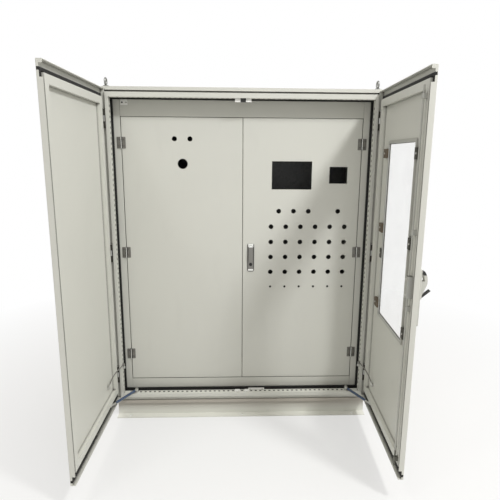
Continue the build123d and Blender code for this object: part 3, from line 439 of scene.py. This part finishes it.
def brushed_stainless(finish, colours):
    """Stainless steel with an upright brushed grain, painted shade in its joints, and the handle's and
    pins' painted shade and highlights.
    """
    grain = finish.cloud(1400.0, 3.0, (1.0, 1.0, 0.02))
    cloud = finish.cloud(30.0, 2.0)
    brushed = finish.mottle(grain, colours.stainless, 0.84, 1.12)
    with_painted_light = pin_shade_and_highlight(finish, colours, handle_shade_and_highlights(finish, colours, brushed))
    # Painted shade: darker in the joints round the fittings, found by ambient occlusion
    joint_shade = finish.ramp(finish.nook(JOINT_SHADE_REACH), 0.30, 0.85)
    finish.close({
        "Base Color": finish.blend(joint_shade, tone(colours.stainless, 0.15), with_painted_light),
        "Metallic": 1.0,
        "Roughness": 0.24 + grain * 0.16 + cloud * 0.06,
        "Normal": finish.bump(grain, 0.20, 0.0002),
    })


def sleeve_plastic(finish, colours):
    """Smooth blue plastic tube with fine drawn lines."""
    lines = finish.cloud(700.0, 2.0, (1.0, 0.15, 1.0))
    cloud = finish.cloud(40.0, 3.0)
    finish.close({
        "Base Color": finish.mottle(cloud, colours.sleeve, 0.82, 1.22),
        "Roughness": 0.22 + lines * 0.12,
        "Coat Weight": 0.50 + cloud * 0.50,
        "Normal": finish.bump(lines, 0.15, 0.0002),
    })


def rail_coat(finish, colours):
    """Dull grey rail, rubbed brighter here and there, and the lighter coat of the lock's works."""
    rub = finish.ramp(finish.cloud(90.0, 5.0, (1.0, 0.25, 1.0)), 0.50, 0.72)
    grain = finish.cloud(800.0, 2.0)
    toned = finish.mottle(rub * 0.5, colours.rail, 0.85, 1.6)
    lock = finish.axis("Z") > LOCK_FOOT_Z
    finish.close({
        "Base Color": finish.blend(lock, toned, tone(colours.paint, 0.72)),
        "Metallic": 0.35,
        "Roughness": 0.52 - rub * 0.14 + grain * 0.06,
        "Normal": finish.bump(grain, 0.20, 0.0003),
    })


def foam_rubber(finish, colours):
    """Foamed seal with open pores in its skin."""
    cells = {"Vector": finish.place, "Scale": 1300.0}
    pore = finish.node("ShaderNodeTexVoronoi", {"feature": "F1"}, cells, out="Distance")
    cloud = finish.cloud(35.0, 3.0)
    finish.close({
        "Base Color": finish.mottle(cloud, colours.rubber, 0.8, 1.7),
        "Roughness": 0.78 + pore * 0.15,
        "Normal": finish.bump(pore, 0.45, 0.0004),
    })


def clear_sheet(finish, colours):
    """Clear acrylic, seen mostly by its reflections, with a faint film of dirt."""
    film = finish.cloud(9.0, 5.0)
    finish.close({
        "Base Color": tone(colours.pane),
        "Roughness": 0.03 + film * 0.05,
        "Alpha": 0.10 + film * 0.08,
        "IOR": 1.49,
    })


def drawn_angle(finish, colours):
    """Drawn metal angle with long die lines."""
    lines = finish.cloud(900.0, 3.0, (1.0, 1.0, 0.015))
    cloud = finish.cloud(18.0, 3.0)
    finish.close({
        "Base Color": finish.mottle(cloud, colours.angle, 0.88, 1.10),
        "Metallic": 0.55,
        "Roughness": 0.36 + lines * 0.14,
        "Normal": finish.bump(lines, 0.15, 0.0002),
    })


def clamp_plastic(finish, colours):
    """Brown moulded block with a sparked grain."""
    grain = finish.cloud(650.0, 3.0)
    cloud = finish.cloud(55.0, 4.0)
    finish.close({
        "Base Color": finish.mottle(cloud, colours.block, 0.70, 1.40),
        "Roughness": 0.48 + grain * 0.14,
        "Normal": finish.bump(grain, 0.30, 0.0003),
    })


def black_moulding(finish, colours):
    """Glass-filled black plastic with a fine sparked grain."""
    grain = finish.cloud(1100.0, 2.0)
    cloud = finish.cloud(40.0, 3.0)
    finish.close({
        "Base Color": finish.mottle(cloud, colours.moulding, 0.8, 1.6),
        "Roughness": 0.46 + grain * 0.12,
        "Normal": finish.bump(grain, 0.30, 0.0002),
    })


def lever_coat(finish, colours):
    """Grey coated lever with a black finger tip and a worn crown."""
    grain = finish.cloud(800.0, 2.0)
    tip = finish.axis("Z") > LOCK_Z + LEVER_TIP
    worn = finish.ramp(finish.cloud(50.0, 4.0), 0.55, 0.75) * 0.15
    coat = finish.mottle(worn, colours.paint, 0.92, 0.70)
    finish.close({
        "Base Color": finish.blend(tip, coat, tone(colours.moulding)),
        "Roughness": 0.40 + grain * 0.10,
        "Normal": finish.bump(grain, 0.20, 0.0003),
    })


def strap_sheath(finish, colours):
    """Dark sheath over stranded wire, with the strands' lay just showing."""
    lay = {"Vector": finish.place, "Scale": 260.0, "Distortion": 1.5}
    strand = finish.node("ShaderNodeTexWave", {"bands_direction": "DIAGONAL"}, lay)
    cloud = finish.cloud(80.0, 3.0)
    finish.close({
        "Base Color": finish.mottle(strand, colours.sheath, 0.75, 1.35),
        "Roughness": 0.45 + cloud * 0.14,
        "Normal": finish.bump(strand, 0.25, 0.0003),
    })


def keeper_nylon(finish, colours):
    """Milky nylon block."""
    grain = finish.cloud(500.0, 2.0)
    cloud = finish.cloud(60.0, 3.0)
    finish.close({
        "Base Color": finish.mottle(cloud, colours.keeper, 0.92, 1.08),
        "Roughness": 0.34 + grain * 0.12,
        "Normal": finish.bump(grain, 0.15, 0.0002),
    })


SURFACE_OF = {
    "cabinet_paint": powder_coat,
    "hinge_black": cast_hinge,
    "zinc": zinc_plate,
    "galvanised": galvanised_sheet,
    "stainless": brushed_stainless,
    "sleeve_blue": sleeve_plastic,
    "rail_grey": rail_coat,
    "gasket_black": foam_rubber,
    "clear_pane": clear_sheet,
    "window_metal": drawn_angle,
    "block_brown": clamp_plastic,
    "handle_black": black_moulding,
    "handle_metal": lever_coat,
    "strap_sheath": strap_sheath,
    "keeper_white": keeper_nylon,
}


# Modelling aids
def begin(add, name, **how):
    """Adds a primitive by itself and opens it in edit mode."""
    bpy.ops.object.select_all(action="DESELECT")
    add(**how)
    piece = bpy.context.object
    piece.name = piece.data.name = name
    bpy.ops.object.mode_set(mode="EDIT")
    return piece


def pick(piece, group, test):
    """Selects only the faces or edges whose middle passes the test."""
    bpy.ops.mesh.select_all(action="DESELECT")
    mesh = bmesh.from_edit_mesh(piece.data)
    for part in getattr(mesh, group):
        middle = sum((corner.co for corner in part.verts), Vector()) / len(part.verts)
        part.select_set(test(middle, part))
    mesh.select_flush_mode()
    bmesh.update_edit_mesh(piece.data)


def upper(middle, edge):
    """Test for the edges above the piece's middle."""
    return all(corner.co.z > 0.0 for corner in edge.verts)


def cap(middle, face):
    """Test for the faces that close a cylinder."""
    return abs(face.normal.z) > 0.99


def crown(middle, face):
    """Test for the faces that look straight up."""
    return face.normal.z > 0.99


def cylinder(name, sides, radius, depth, middle=0.0):
    """Opens an upright cylinder in edit mode, with its middle at a height."""
    return begin(bpy.ops.mesh.primitive_cylinder_add, name, vertices=sides, radius=radius,
                 depth=depth, location=(0.0, 0.0, middle))


def soften(piece, test, offset, segments=2):
    """Rounds the edges that pass the test."""
    pick(piece, "edges", test)
    bpy.ops.mesh.bevel(offset=offset, segments=segments, affect="EDGES")


def sink(piece, rim, depth):
    """Sinks the top face inside a rim."""
    pick(piece, "faces", crown)
    bpy.ops.mesh.inset(thickness=rim)
    bpy.ops.mesh.extrude_region_move(TRANSFORM_OT_translate={"value": (0.0, 0.0, -depth)})


def bore(piece, rim):
    """Opens a cylinder from end to end, inside a rim."""
    pick(piece, "faces", cap)
    bpy.ops.mesh.inset(thickness=rim)
    bpy.ops.mesh.bridge_edge_loops()


def end(piece):
    """Leaves edit mode with the piece's place in its mesh."""
    bpy.ops.object.mode_set(mode="OBJECT")
    bpy.ops.object.transform_apply(location=True, rotation=True, scale=True)
    bpy.ops.object.shade_smooth_by_angle(angle=math.radians(35.0))
    return piece


def choose(piece):
    """Makes a piece the only one selected, and the active one."""
    bpy.ops.object.select_all(action="DESELECT")
    piece.select_set(True)
    bpy.context.view_layer.objects.active = piece


def join(pieces, name):
    """Joins pieces into the first one."""
    bpy.ops.object.select_all(action="DESELECT")
    for piece in pieces:
        piece.select_set(True)
    bpy.context.view_layer.objects.active = pieces[0]
    if len(pieces) > 1:
        bpy.ops.object.join()
    pieces[0].name = pieces[0].data.name = name
    return pieces[0]


def facing(place, normal):
    """Stands a piece drawn along +Z on a place, looking along the normal."""
    turn = Vector(normal).to_track_quat("Z", "Y").to_matrix().to_4x4()
    return Matrix.Translation(place) @ turn


def door_at_rest(side):
    """Takes a place on a shut outer door to where that door stands."""
    hinge = Matrix.Translation((side * HINGE_X, HINGE_Y, 0.0))
    return hinge @ Matrix.Rotation(REST_TURN[side], 4, "Z") @ hinge.inverted()


def set_out(pattern, name, body, slot, places):
    """Copies a pattern to its places, each copy with its own mesh, as one piece on a body."""
    copies = []
    for place in places:
        copy = pattern.copy()
        copy.data = pattern.data.copy()
        copy.data.transform(place)
        bpy.context.collection.objects.link(copy)
        copies.append(copy)
    return hand_over(join(copies, name), body, slot)


def hand_over(piece, body, slot):
    """Gives a finished piece its finish and the body that it rides on."""
    piece.data.materials.clear()
    piece.data.materials.append(bpy.data.materials[slot])
    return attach(piece, body) if body else piece


def drop(pattern):
    """Removes a pattern or an aid that has done its work."""
    bpy.data.objects.remove(pattern)


def pan_screw(sizes):
    """Pan-head screw seen from outside: crowned head with a tapered socket."""
    high = sizes.screw_rise
    screw = cylinder("pan_screw", 18, sizes.screw_head, high, high / 2)
    soften(screw, upper, high * 0.55, 3)
    sink(screw, sizes.screw_head * 0.20, high * 0.6)
    bpy.ops.transform.resize(value=(0.6, 0.6, 1.0))
    return end(screw)


def hex_nut(sizes):
    """Hexagon nut with chamfered corners on a round washer."""
    thin, high = sizes.nut_rise * 0.28, sizes.nut_rise
    washer = cylinder("washer", 24, sizes.nut_across * 1.10, thin, thin / 2)
    soften(washer, lambda middle, edge: abs(edge.verts[0].co.z - edge.verts[1].co.z) < 1e-6, thin * 0.3)
    end(washer)
    nut = cylinder("hex_nut", 6, sizes.nut_across, high, thin + high / 2)
    soften(nut, upper, high * 0.16)
    sink(nut, sizes.nut_across * 0.22, high * 0.12)
    end(nut)
    return join([nut, washer], "hex_nut")


def ring_lug(sizes, way):
    """Ring lug about its stud along Z, its crimped barrel leading off along a direction."""
    ring = cylinder("ring_lug", 28, sizes.lug_ring, LUG_THICK)
    bore(ring, sizes.lug_ring - LUG_BORE)
    end(ring)
    radius, long = sizes.strap_thick * 0.66, sizes.crimp_long
    start = Vector((way.x, way.y, 0.0)).normalized() * (sizes.lug_ring - CRIMP_OVERLAP)
    barrel = cylinder("crimp", 20, radius, long)
    bpy.ops.mesh.select_all(action="SELECT")
    bpy.ops.mesh.subdivide(number_cuts=1)
    soften(barrel, lambda middle, edge: abs(abs(middle.z) - long / 2) < 1e-5, radius * 0.25)
    pick(barrel, "faces", lambda middle, face: abs(middle.z) < long * 0.3 and abs(face.normal.z) < 0.5)
    bpy.ops.transform.resize(value=(0.94, 1.06, 1.0))
    end(barrel)
    barrel.data.transform(facing(start + way * (long / 2), way))
    return join([ring, barrel], "ring_lug")


def key_cylinder(sizes):
    """Face of a key cylinder with its key slot."""
    face = cylinder("key_cylinder", 28, sizes.key_face, KEY_DEEP, KEY_DEEP / 2)
    soften(face, upper, KEY_DEEP * 0.3)
    end(face)
    slot = begin(bpy.ops.mesh.primitive_cube_add, "key_slot", size=1.0)
    bpy.ops.transform.resize(value=(sizes.key_face * 0.28, sizes.key_face * 1.2, KEY_DEEP))
    end(slot)
    slot.data.transform(Matrix.Translation((0.0, 0.0, KEY_DEEP)))
    cut = face.modifiers.new("key_slot", "BOOLEAN")
    cut.operation, cut.object, cut.solver = "DIFFERENCE", slot, "EXACT"
    choose(face)
    bpy.ops.object.modifier_apply(modifier=cut.name)
    drop(slot)
    return face


def grommet(sizes):
    """Rubber ring that stands on the rim of a hole."""
    ring = cylinder("grommet", 24, sizes.grommet_rim, sizes.grommet_rise, sizes.grommet_rise / 2)
    bore(ring, sizes.grommet_rim * 0.45)
    soften(ring, upper, sizes.grommet_rise * 0.35)
    return end(ring)


def foam_strip(low, high):
    """Foam strip between two corners, with its rims rounded."""
    strip = begin(bpy.ops.mesh.primitive_cube_add, "foam_strip", size=1.0)
    bpy.ops.transform.resize(value=high - low)
    bpy.ops.mesh.select_all(action="SELECT")
    bpy.ops.mesh.bevel(offset=min(high - low) * 0.3, segments=2, affect="EDGES")
    end(strip)
    strip.data.transform(Matrix.Translation((low + high) / 2))
    return strip


def strap_route(side):
    """Control points of an earth strap, from the post's stud to the door's."""
    stud_y, stud_z = POST_STUD
    route = [Vector((side * (POST_FACE_X - inward), stud_y - forward, stud_z + up))
             for inward, forward, up in STRAP_ON_FRAME]
    rest = door_at_rest(side)
    return route + [rest @ Vector((side * (HINGE_X - reach), HINGE_Y + inward, z))
                    for reach, inward, z in STRAP_ON_DOOR]


def strap_line(name, route, thick):
    """NURBS curve led by the strap's control points."""
    line = bpy.data.curves.new(name, "CURVE")
    line.dimensions = "3D"
    line.resolution_u, line.bevel_resolution, line.use_fill_caps = 16, 4, True
    spline = line.splines.new("NURBS")
    spline.points.add(len(route) - 1)
    for point, place in zip(spline.points, route):
        point.co = (*place, 1.0)
    spline.order_u = 3
    spline.use_endpoint_u = True
    line.bevel_depth = thick
    piece = bpy.data.objects.new(name, line)
    bpy.context.collection.objects.link(piece)
    return piece


class CabinetOperator(bpy.types.Operator):
    """Base of the cabinet's operators."""

    bl_options = {"REGISTER", "UNDO"}


class CABINET_OT_camera(CabinetOperator):
    """Set the camera at the height and distance of the picture"""

    bl_idname = "cabinet.camera"
    bl_label = "Camera"

    def execute(self, context):
        studio = context.scene.cabinet_studio
        ahead = Vector((math.sin(studio.yaw) * math.cos(studio.pitch),
                        math.cos(studio.yaw) * math.cos(studio.pitch), math.sin(studio.pitch)))
        level = Vector((math.cos(studio.yaw), -math.sin(studio.yaw), 0.0))
        upright = level.cross(ahead)
        right = level * math.cos(studio.roll) + upright * math.sin(studio.roll)
        up = upright * math.cos(studio.roll) - level * math.sin(studio.roll)
        data = bpy.data.cameras.new("camera")
        data.sensor_fit, data.sensor_width, data.lens = "HORIZONTAL", 36.0, studio.lens
        data.shift_y = studio.rise
        camera = bpy.data.objects.new("camera", data)
        context.collection.objects.link(camera)
        turn = Matrix((right, up, -ahead)).transposed().to_4x4()
        camera.matrix_world = Matrix.Translation(studio.eye) @ turn
        context.scene.camera = camera
        return {"FINISHED"}


class CABINET_OT_finishes(CabinetOperator):
    """Make the finishes and give each solid its own"""

    bl_idname = "cabinet.finishes"
    bl_label = "Finishes"

    def execute(self, context):
        colours = context.scene.cabinet_finishes
        for slot, surface in SURFACE_OF.items():
            material = bpy.data.materials.get(slot) or bpy.data.materials.new(slot)
            material.use_nodes = True
            surface(Finish(material.node_tree), colours)
        for part in frame["record"]["subparts"]:
            mesh = frame["nodes"][part["node"]].data
            mesh.materials.clear()
            mesh.materials.append(bpy.data.materials[part["material_slot"]])
        return {"FINISHED"}


class CABINET_OT_earth_straps(CabinetOperator):
    """Lead an earth strap from each post to its door"""

    bl_idname = "cabinet.earth_straps"
    bl_label = "Earth straps"

    def execute(self, context):
        sizes = context.scene.cabinet_fittings
        for side in (1, -1):
            name = f"{SIDE_WORD[side]}_strap"
            route = strap_route(side)
            bare = strap_line("strap_line", route, 0.0)
            path = [tuple(corner.co) for corner in bpy.data.meshes.new_from_object(bare).vertices]
            drop(bare)
            round_line = strap_line("strap_round", route, sizes.strap_thick / 2)
            strap = bpy.data.objects.new(name, bpy.data.meshes.new_from_object(round_line))
            drop(round_line)
            context.collection.objects.link(strap)
            choose(strap)
            bpy.ops.object.shade_smooth_by_angle(angle=math.radians(50.0))
            hand_over(strap, None, "strap_sheath")
            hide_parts(f"{SIDE_WORD[side]}_earth_strap")
            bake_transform(strap)
        return {"FINISHED"}


class CABINET_OT_strap_lugs(CabinetOperator):
    """Fix both ends of each earth strap with a ring lug between two nuts"""

    bl_idname = "cabinet.strap_lugs"
    bl_label = "Strap lugs"

    def execute(self, context):
        sizes = context.scene.cabinet_fittings
        stud_y, stud_z = POST_STUD
        nut = hex_nut(sizes)
        for side in (1, -1):
            word, rest, route = SIDE_WORD[side], door_at_rest(side), strap_route(side)
            post = facing((side * POST_FACE_X, stud_y, stud_z), (-side, 0.0, 0.0))
            foot = rest @ Vector((side * DOOR_STUD[0], DOOR_SKIN_Y, DOOR_STUD[1]))
            door = facing(foot, rest.to_3x3() @ Vector(BACKWARD))
            ends = ((post, route[1] - route[0], "post", "cabinet"),
                    (door, route[-2] - route[-1], "door", DOOR_BODY[side]))
            for stand, way, where, body in ends:
                lug = ring_lug(sizes, (stand.to_3x3().inverted() @ way).normalized())
                lug.data.transform(stand @ Matrix.Translation((0.0, 0.0, LUG_LIFT)))
                lug.name = lug.data.name = f"{word}_{where}_lug"
                hand_over(lug, body, "zinc")
                above = stand @ Matrix.Translation((0.0, 0.0, TOP_NUT_LIFT))
                set_out(nut, f"{word}_{where}_nuts", body, "zinc", [stand, above])
        drop(nut)
        return {"FINISHED"}


class CABINET_OT_inner_hinge_screws(CabinetOperator):
    """Screw the leaves of the inner hinges to frame and doors"""

    bl_idname = "cabinet.inner_hinge_screws"
    bl_label = "Inner hinge screws"

    def execute(self, context):
        screw = pan_screw(context.scene.cabinet_fittings)
        heights = [z + step for z in INNER_HINGE_Z for step in (-LEAF_SCREW_STEP, LEAF_SCREW_STEP)]
        for side in (1, -1):
            leaves = (("frame", LEAF_SCREW_OUT, "cabinet"), ("door", -LEAF_SCREW_OUT, INNER_BODY[side]))
            for part, out, body in leaves:
                x = side * (INNER_HINGE_X + out)
                places = [facing((x, INNER_LEAF_Y, z), FORWARD) for z in heights]
                name = f"{SIDE_WORD[side]}_inner_hinge_{part}_screws"
                set_out(screw, name, body, "stainless", places)
        drop(screw)
        return {"FINISHED"}


class CABINET_OT_window_screws(CabinetOperator):
    """Screw the window's clips and blocks, and the lock's cover, to the right door"""

    bl_idname = "cabinet.window_screws"
    bl_label = "Window and lock screws"

    def execute(self, context):
        screw = pan_screw(context.scene.cabinet_fittings)
        steps = (-COVER_SCREW_STEP, COVER_SCREW_STEP)
        cover = tuple((LOCK_X, LOCK_CASE_Y, LOCK_Z + step) for step in steps)
        rest = door_at_rest(1)
        places = [rest @ facing(place, BACKWARD) for place in CLIP_PLACES + BLOCK_PLACES + cover]
        set_out(screw, "window_and_lock_screws", "right_outer_door", "zinc", places)
        drop(screw)
        return {"FINISHED"}


class CABINET_OT_panel_screws(CabinetOperator):
    """Screw the rear panel and the corner plate on, and hold the mounting plate by nuts"""

    bl_idname = "cabinet.panel_screws"
    bl_label = "Panel screws"

    def execute(self, context):
        sizes = context.scene.cabinet_fittings
        screw, nut = pan_screw(sizes), hex_nut(sizes)
        rows = [(x, z) for x in REAR_SIDES_X for z in REAR_SIDES_Z]
        rows += [(x, z) for z in REAR_ENDS_Z for x in REAR_ENDS_X]
        larger = Matrix.Scale(REAR_SCREW, 4)
        places = [facing((x, REAR_FACE_Y, z), BACKWARD) @ larger for x, z in rows]
        set_out(screw, "rear_panel_screws", "cabinet", "zinc", places)
        studs = [facing((x, PLATE_FACE_Y, z), FORWARD) for x in PLATE_STUDS_X for z in PLATE_STUDS_Z]
        set_out(nut, "mounting_plate_nuts", "cabinet", "zinc", studs)
        low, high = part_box("screwed_plates")
        inset, drop_down = CORNER_SCREW
        corner = facing((low.x + inset, high.y, high.z - drop_down), FORWARD)
        set_out(screw, "corner_plate_screw", "cabinet", "handle_black", [corner])
        drop(screw)
        drop(nut)
        return {"FINISHED"}


class CABINET_OT_key_cylinders(CabinetOperator):
    """Set a key cylinder in the inner handle's plate"""

    bl_idname = "cabinet.key_cylinders"
    bl_label = "Key cylinder"

    def execute(self, context):
        face = key_cylinder(context.scene.cabinet_fittings)
        x, z = INNER_LATCH
        bump_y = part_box("inner_handle_housing")[0].y
        place = facing((x, bump_y, z - KEY_BELOW_LATCH), FORWARD)
        set_out(face, "inner_key_cylinder", "right_inner_door", "handle_black", [place])
        drop(face)
        return {"FINISHED"}


class CABINET_OT_keeper_bridge(CabinetOperator):
    """Set the black stop between the two keepers under the top rail"""

    bl_idname = "cabinet.keeper_bridge"
    bl_label = "Keeper bridge"

    def execute(self, context):
        low, high = Vector(BRIDGE_FROM), Vector(BRIDGE_TO)
        bridge = begin(bpy.ops.mesh.primitive_cube_add, "keeper_bridge", size=1.0)
        bpy.ops.transform.resize(value=high - low)
        pick(bridge, "faces", lambda middle, face: face.normal.y < -0.99)
        bpy.ops.mesh.inset(thickness=BRIDGE_RIM)
        bpy.ops.transform.translate(value=(0.0, BRIDGE_DISH, 0.0))
        soften(bridge, lambda middle, edge: abs(middle.x) > high.x - 0.001, BRIDGE_ROUND)
        end(bridge)
        bridge.data.transform(Matrix.Translation((low + high) / 2))
        hand_over(bridge, "cabinet", "handle_black")
        return {"FINISHED"}


class CABINET_OT_seal_and_shade_strips(CabinetOperator):
    """Seal the gap round the inner frame with foam strips that also darken it as painted shade, and
    back the frame's slots with black strips as painted shade
    """

    bl_idname = "cabinet.closing_strips"
    bl_label = "Closing strips"

    def execute(self, context):
        # Painted shade: black strips back the slots, and the seal strips also darken the gap round the
        # inner frame
        for name, spans in (("closing_strips", SEAL_AND_SHADE_STRIPS), ("slot_strips", SLOT_SHADE_STRIPS)):
            strips = [foam_strip(Vector(low), Vector(high)) for low, high in spans]
            hand_over(join(strips, name), "cabinet", "gasket_black")
        return {"FINISHED"}


class CABINET_OT_grommets(CabinetOperator):
    """Line the row of small holes in the right inner door with grommets"""

    bl_idname = "cabinet.grommets"
    bl_label = "Grommets"

    def execute(self, context):
        ring = grommet(context.scene.cabinet_fittings)
        low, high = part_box("right_inner_panel")
        z = low.z + GROMMET_SHARE * (high.z - low.z)
        places = [facing((x, low.y, z), FORWARD) for x in GROMMET_X]
        set_out(ring, "small_hole_grommets", "right_inner_door", "handle_black", places)
        drop(ring)
        return {"FINISHED"}


class CABINET_OT_stage(CabinetOperator):
    """Lay the pale floor, light the studio and set a white background"""

    bl_idname = "cabinet.stage"
    bl_label = "Stage"

    def execute(self, context):
        studio = context.scene.cabinet_studio
        floor = begin(bpy.ops.mesh.primitive_plane_add, "studio_floor", size=FLOOR_SIZE,
                      location=(0.0, 0.0, FLOOR_Z))
        bpy.ops.mesh.subdivide(number_cuts=3)
        end(floor)
        material = bpy.data.materials.new("studio_floor")
        material.use_nodes = True
        self.floor_surface(Finish(material.node_tree), studio)
        floor.data.materials.append(material)
        self.lamp("lamp_left", studio.lamp_left, studio.lamp_size, LAMP_LEFT_PLACE)
        self.lamp("lamp_right", studio.lamp_right, studio.lamp_size, LAMP_RIGHT_PLACE)
        world = bpy.data.worlds.new("studio")
        world.use_nodes = True
        context.scene.world = world
        self.sky(Finish(world.node_tree), studio)
        context.scene.view_settings.view_transform = "Standard"
        return {"FINISHED"}

    @staticmethod
    def seen(finish):
        """1 where a camera, a reflection or a clear pane looks, and 0 for the light itself."""
        camera, glossy, clear = (finish.node("ShaderNodeLightPath", out=f"Is {kind} Ray")
                                 for kind in ("Camera", "Glossy", "Transmission"))
        looked = camera + glossy + clear
        return finish.node("ShaderNodeMath", {"operation": "MINIMUM"}, {0: looked, 1: 1.0})

    def floor_surface(self, finish, studio):
        """Pale floor that keeps the shadow near the object and fades to white further off."""
        sockets = {0: finish.place}
        away = finish.node("ShaderNodeVectorMath", {"operation": "LENGTH"}, sockets, out="Value")
        free = finish.ramp(finish.nook(SHADOW_REACH), 0.10, 0.70)
        fade = (0.50 + finish.ramp(away, FADE_FROM, FADE_FULL) * 0.50) * free
        pale = finish.node("ShaderNodeBsdfDiffuse", {}, {"Color": tone(studio.floor)})
        white = finish.node("ShaderNodeEmission", {}, {"Strength": 1.0})
        share = fade * self.seen(finish)
        mixed = finish.node("ShaderNodeMixShader", {}, {0: share, 1: pale, 2: white})
        finish.node("ShaderNodeOutputMaterial", {}, {"Surface": mixed})

    def sky(self, finish, studio):
        """White to look at, and a light that grows from the horizon upwards."""
        way = finish.node("ShaderNodeTexCoord", out="Generated")
        height = finish.ramp(finish.node("ShaderNodeSeparateXYZ", {}, {0: way}, out="Z"), 0.0, 1.0)
        light = studio.horizon + height * height * height * (studio.zenith - studio.horizon)
        seen = self.seen(finish)
        warm = finish.blend(seen, tone(studio.glow), (1.0, 1.0, 1.0, 1.0))
        looks = {"Color": warm, "Strength": seen + (1.0 - seen) * light}
        glow = finish.node("ShaderNodeBackground", {}, looks)
        finish.node("ShaderNodeOutputWorld", {}, {"Surface": glow})

    @staticmethod
    def lamp(name, power, size, place):
        """Soft ceiling lamp that looks at the cabinet."""
        data = bpy.data.lights.new(name, "AREA")
        data.shape, data.size, data.energy = "DISK", size, power
        lamp = bpy.data.objects.new(name, data)
        bpy.context.collection.objects.link(lamp)
        turn = (Vector(LAMP_TARGET) - Vector(place)).to_track_quat("-Z", "Y").to_matrix().to_4x4()
        lamp.matrix_world = Matrix.Translation(place) @ turn


class CABINET_PT_sidebar(bpy.types.Panel):
    """Sidebar with the cabinet's values and its steps"""

    bl_label = "Control cabinet"
    bl_idname = "CABINET_PT_sidebar"
    bl_space_type = "VIEW_3D"
    bl_region_type = "UI"
    bl_category = "Cabinet"

    def draw(self, context):
        for name in GROUPS:
            group = getattr(context.scene, name)
            box = self.layout.box()
            for key in group.__annotations__:
                box.prop(group, key)
        for step in STEPS:
            self.layout.operator(step.bl_idname)


STEPS = (
    CABINET_OT_camera,
    CABINET_OT_finishes,
    CABINET_OT_earth_straps,
    CABINET_OT_strap_lugs,
    CABINET_OT_inner_hinge_screws,
    CABINET_OT_window_screws,
    CABINET_OT_panel_screws,
    CABINET_OT_key_cylinders,
    CABINET_OT_keeper_bridge,
    CABINET_OT_seal_and_shade_strips,
    CABINET_OT_grommets,
    CABINET_OT_stage,
)
GROUPS = {
    "cabinet_finishes": CabinetFinishes,
    "cabinet_fittings": CabinetFittings,
    "cabinet_studio": CabinetStudio,
}


def register():
    for kind in (*GROUPS.values(), *STEPS, CABINET_PT_sidebar):
        bpy.utils.register_class(kind)
    for name, group in GROUPS.items():
        setattr(bpy.types.Scene, name, bpy.props.PointerProperty(type=group))


def unregister():
    for name in GROUPS:
        delattr(bpy.types.Scene, name)
    for kind in (CABINET_PT_sidebar, *reversed(STEPS), *reversed(GROUPS.values())):
        bpy.utils.unregister_class(kind)


def main():
    register()
    bpy.ops.cabinet.camera()
    bpy.ops.cabinet.finishes()
    bpy.ops.cabinet.earth_straps()
    bpy.ops.cabinet.strap_lugs()
    bpy.ops.cabinet.inner_hinge_screws()
    bpy.ops.cabinet.window_screws()
    bpy.ops.cabinet.panel_screws()
    bpy.ops.cabinet.key_cylinders()
    bpy.ops.cabinet.keeper_bridge()
    bpy.ops.cabinet.closing_strips()
    bpy.ops.cabinet.grommets()
    bpy.ops.cabinet.stage()


if __name__ == "__main__":
    main()
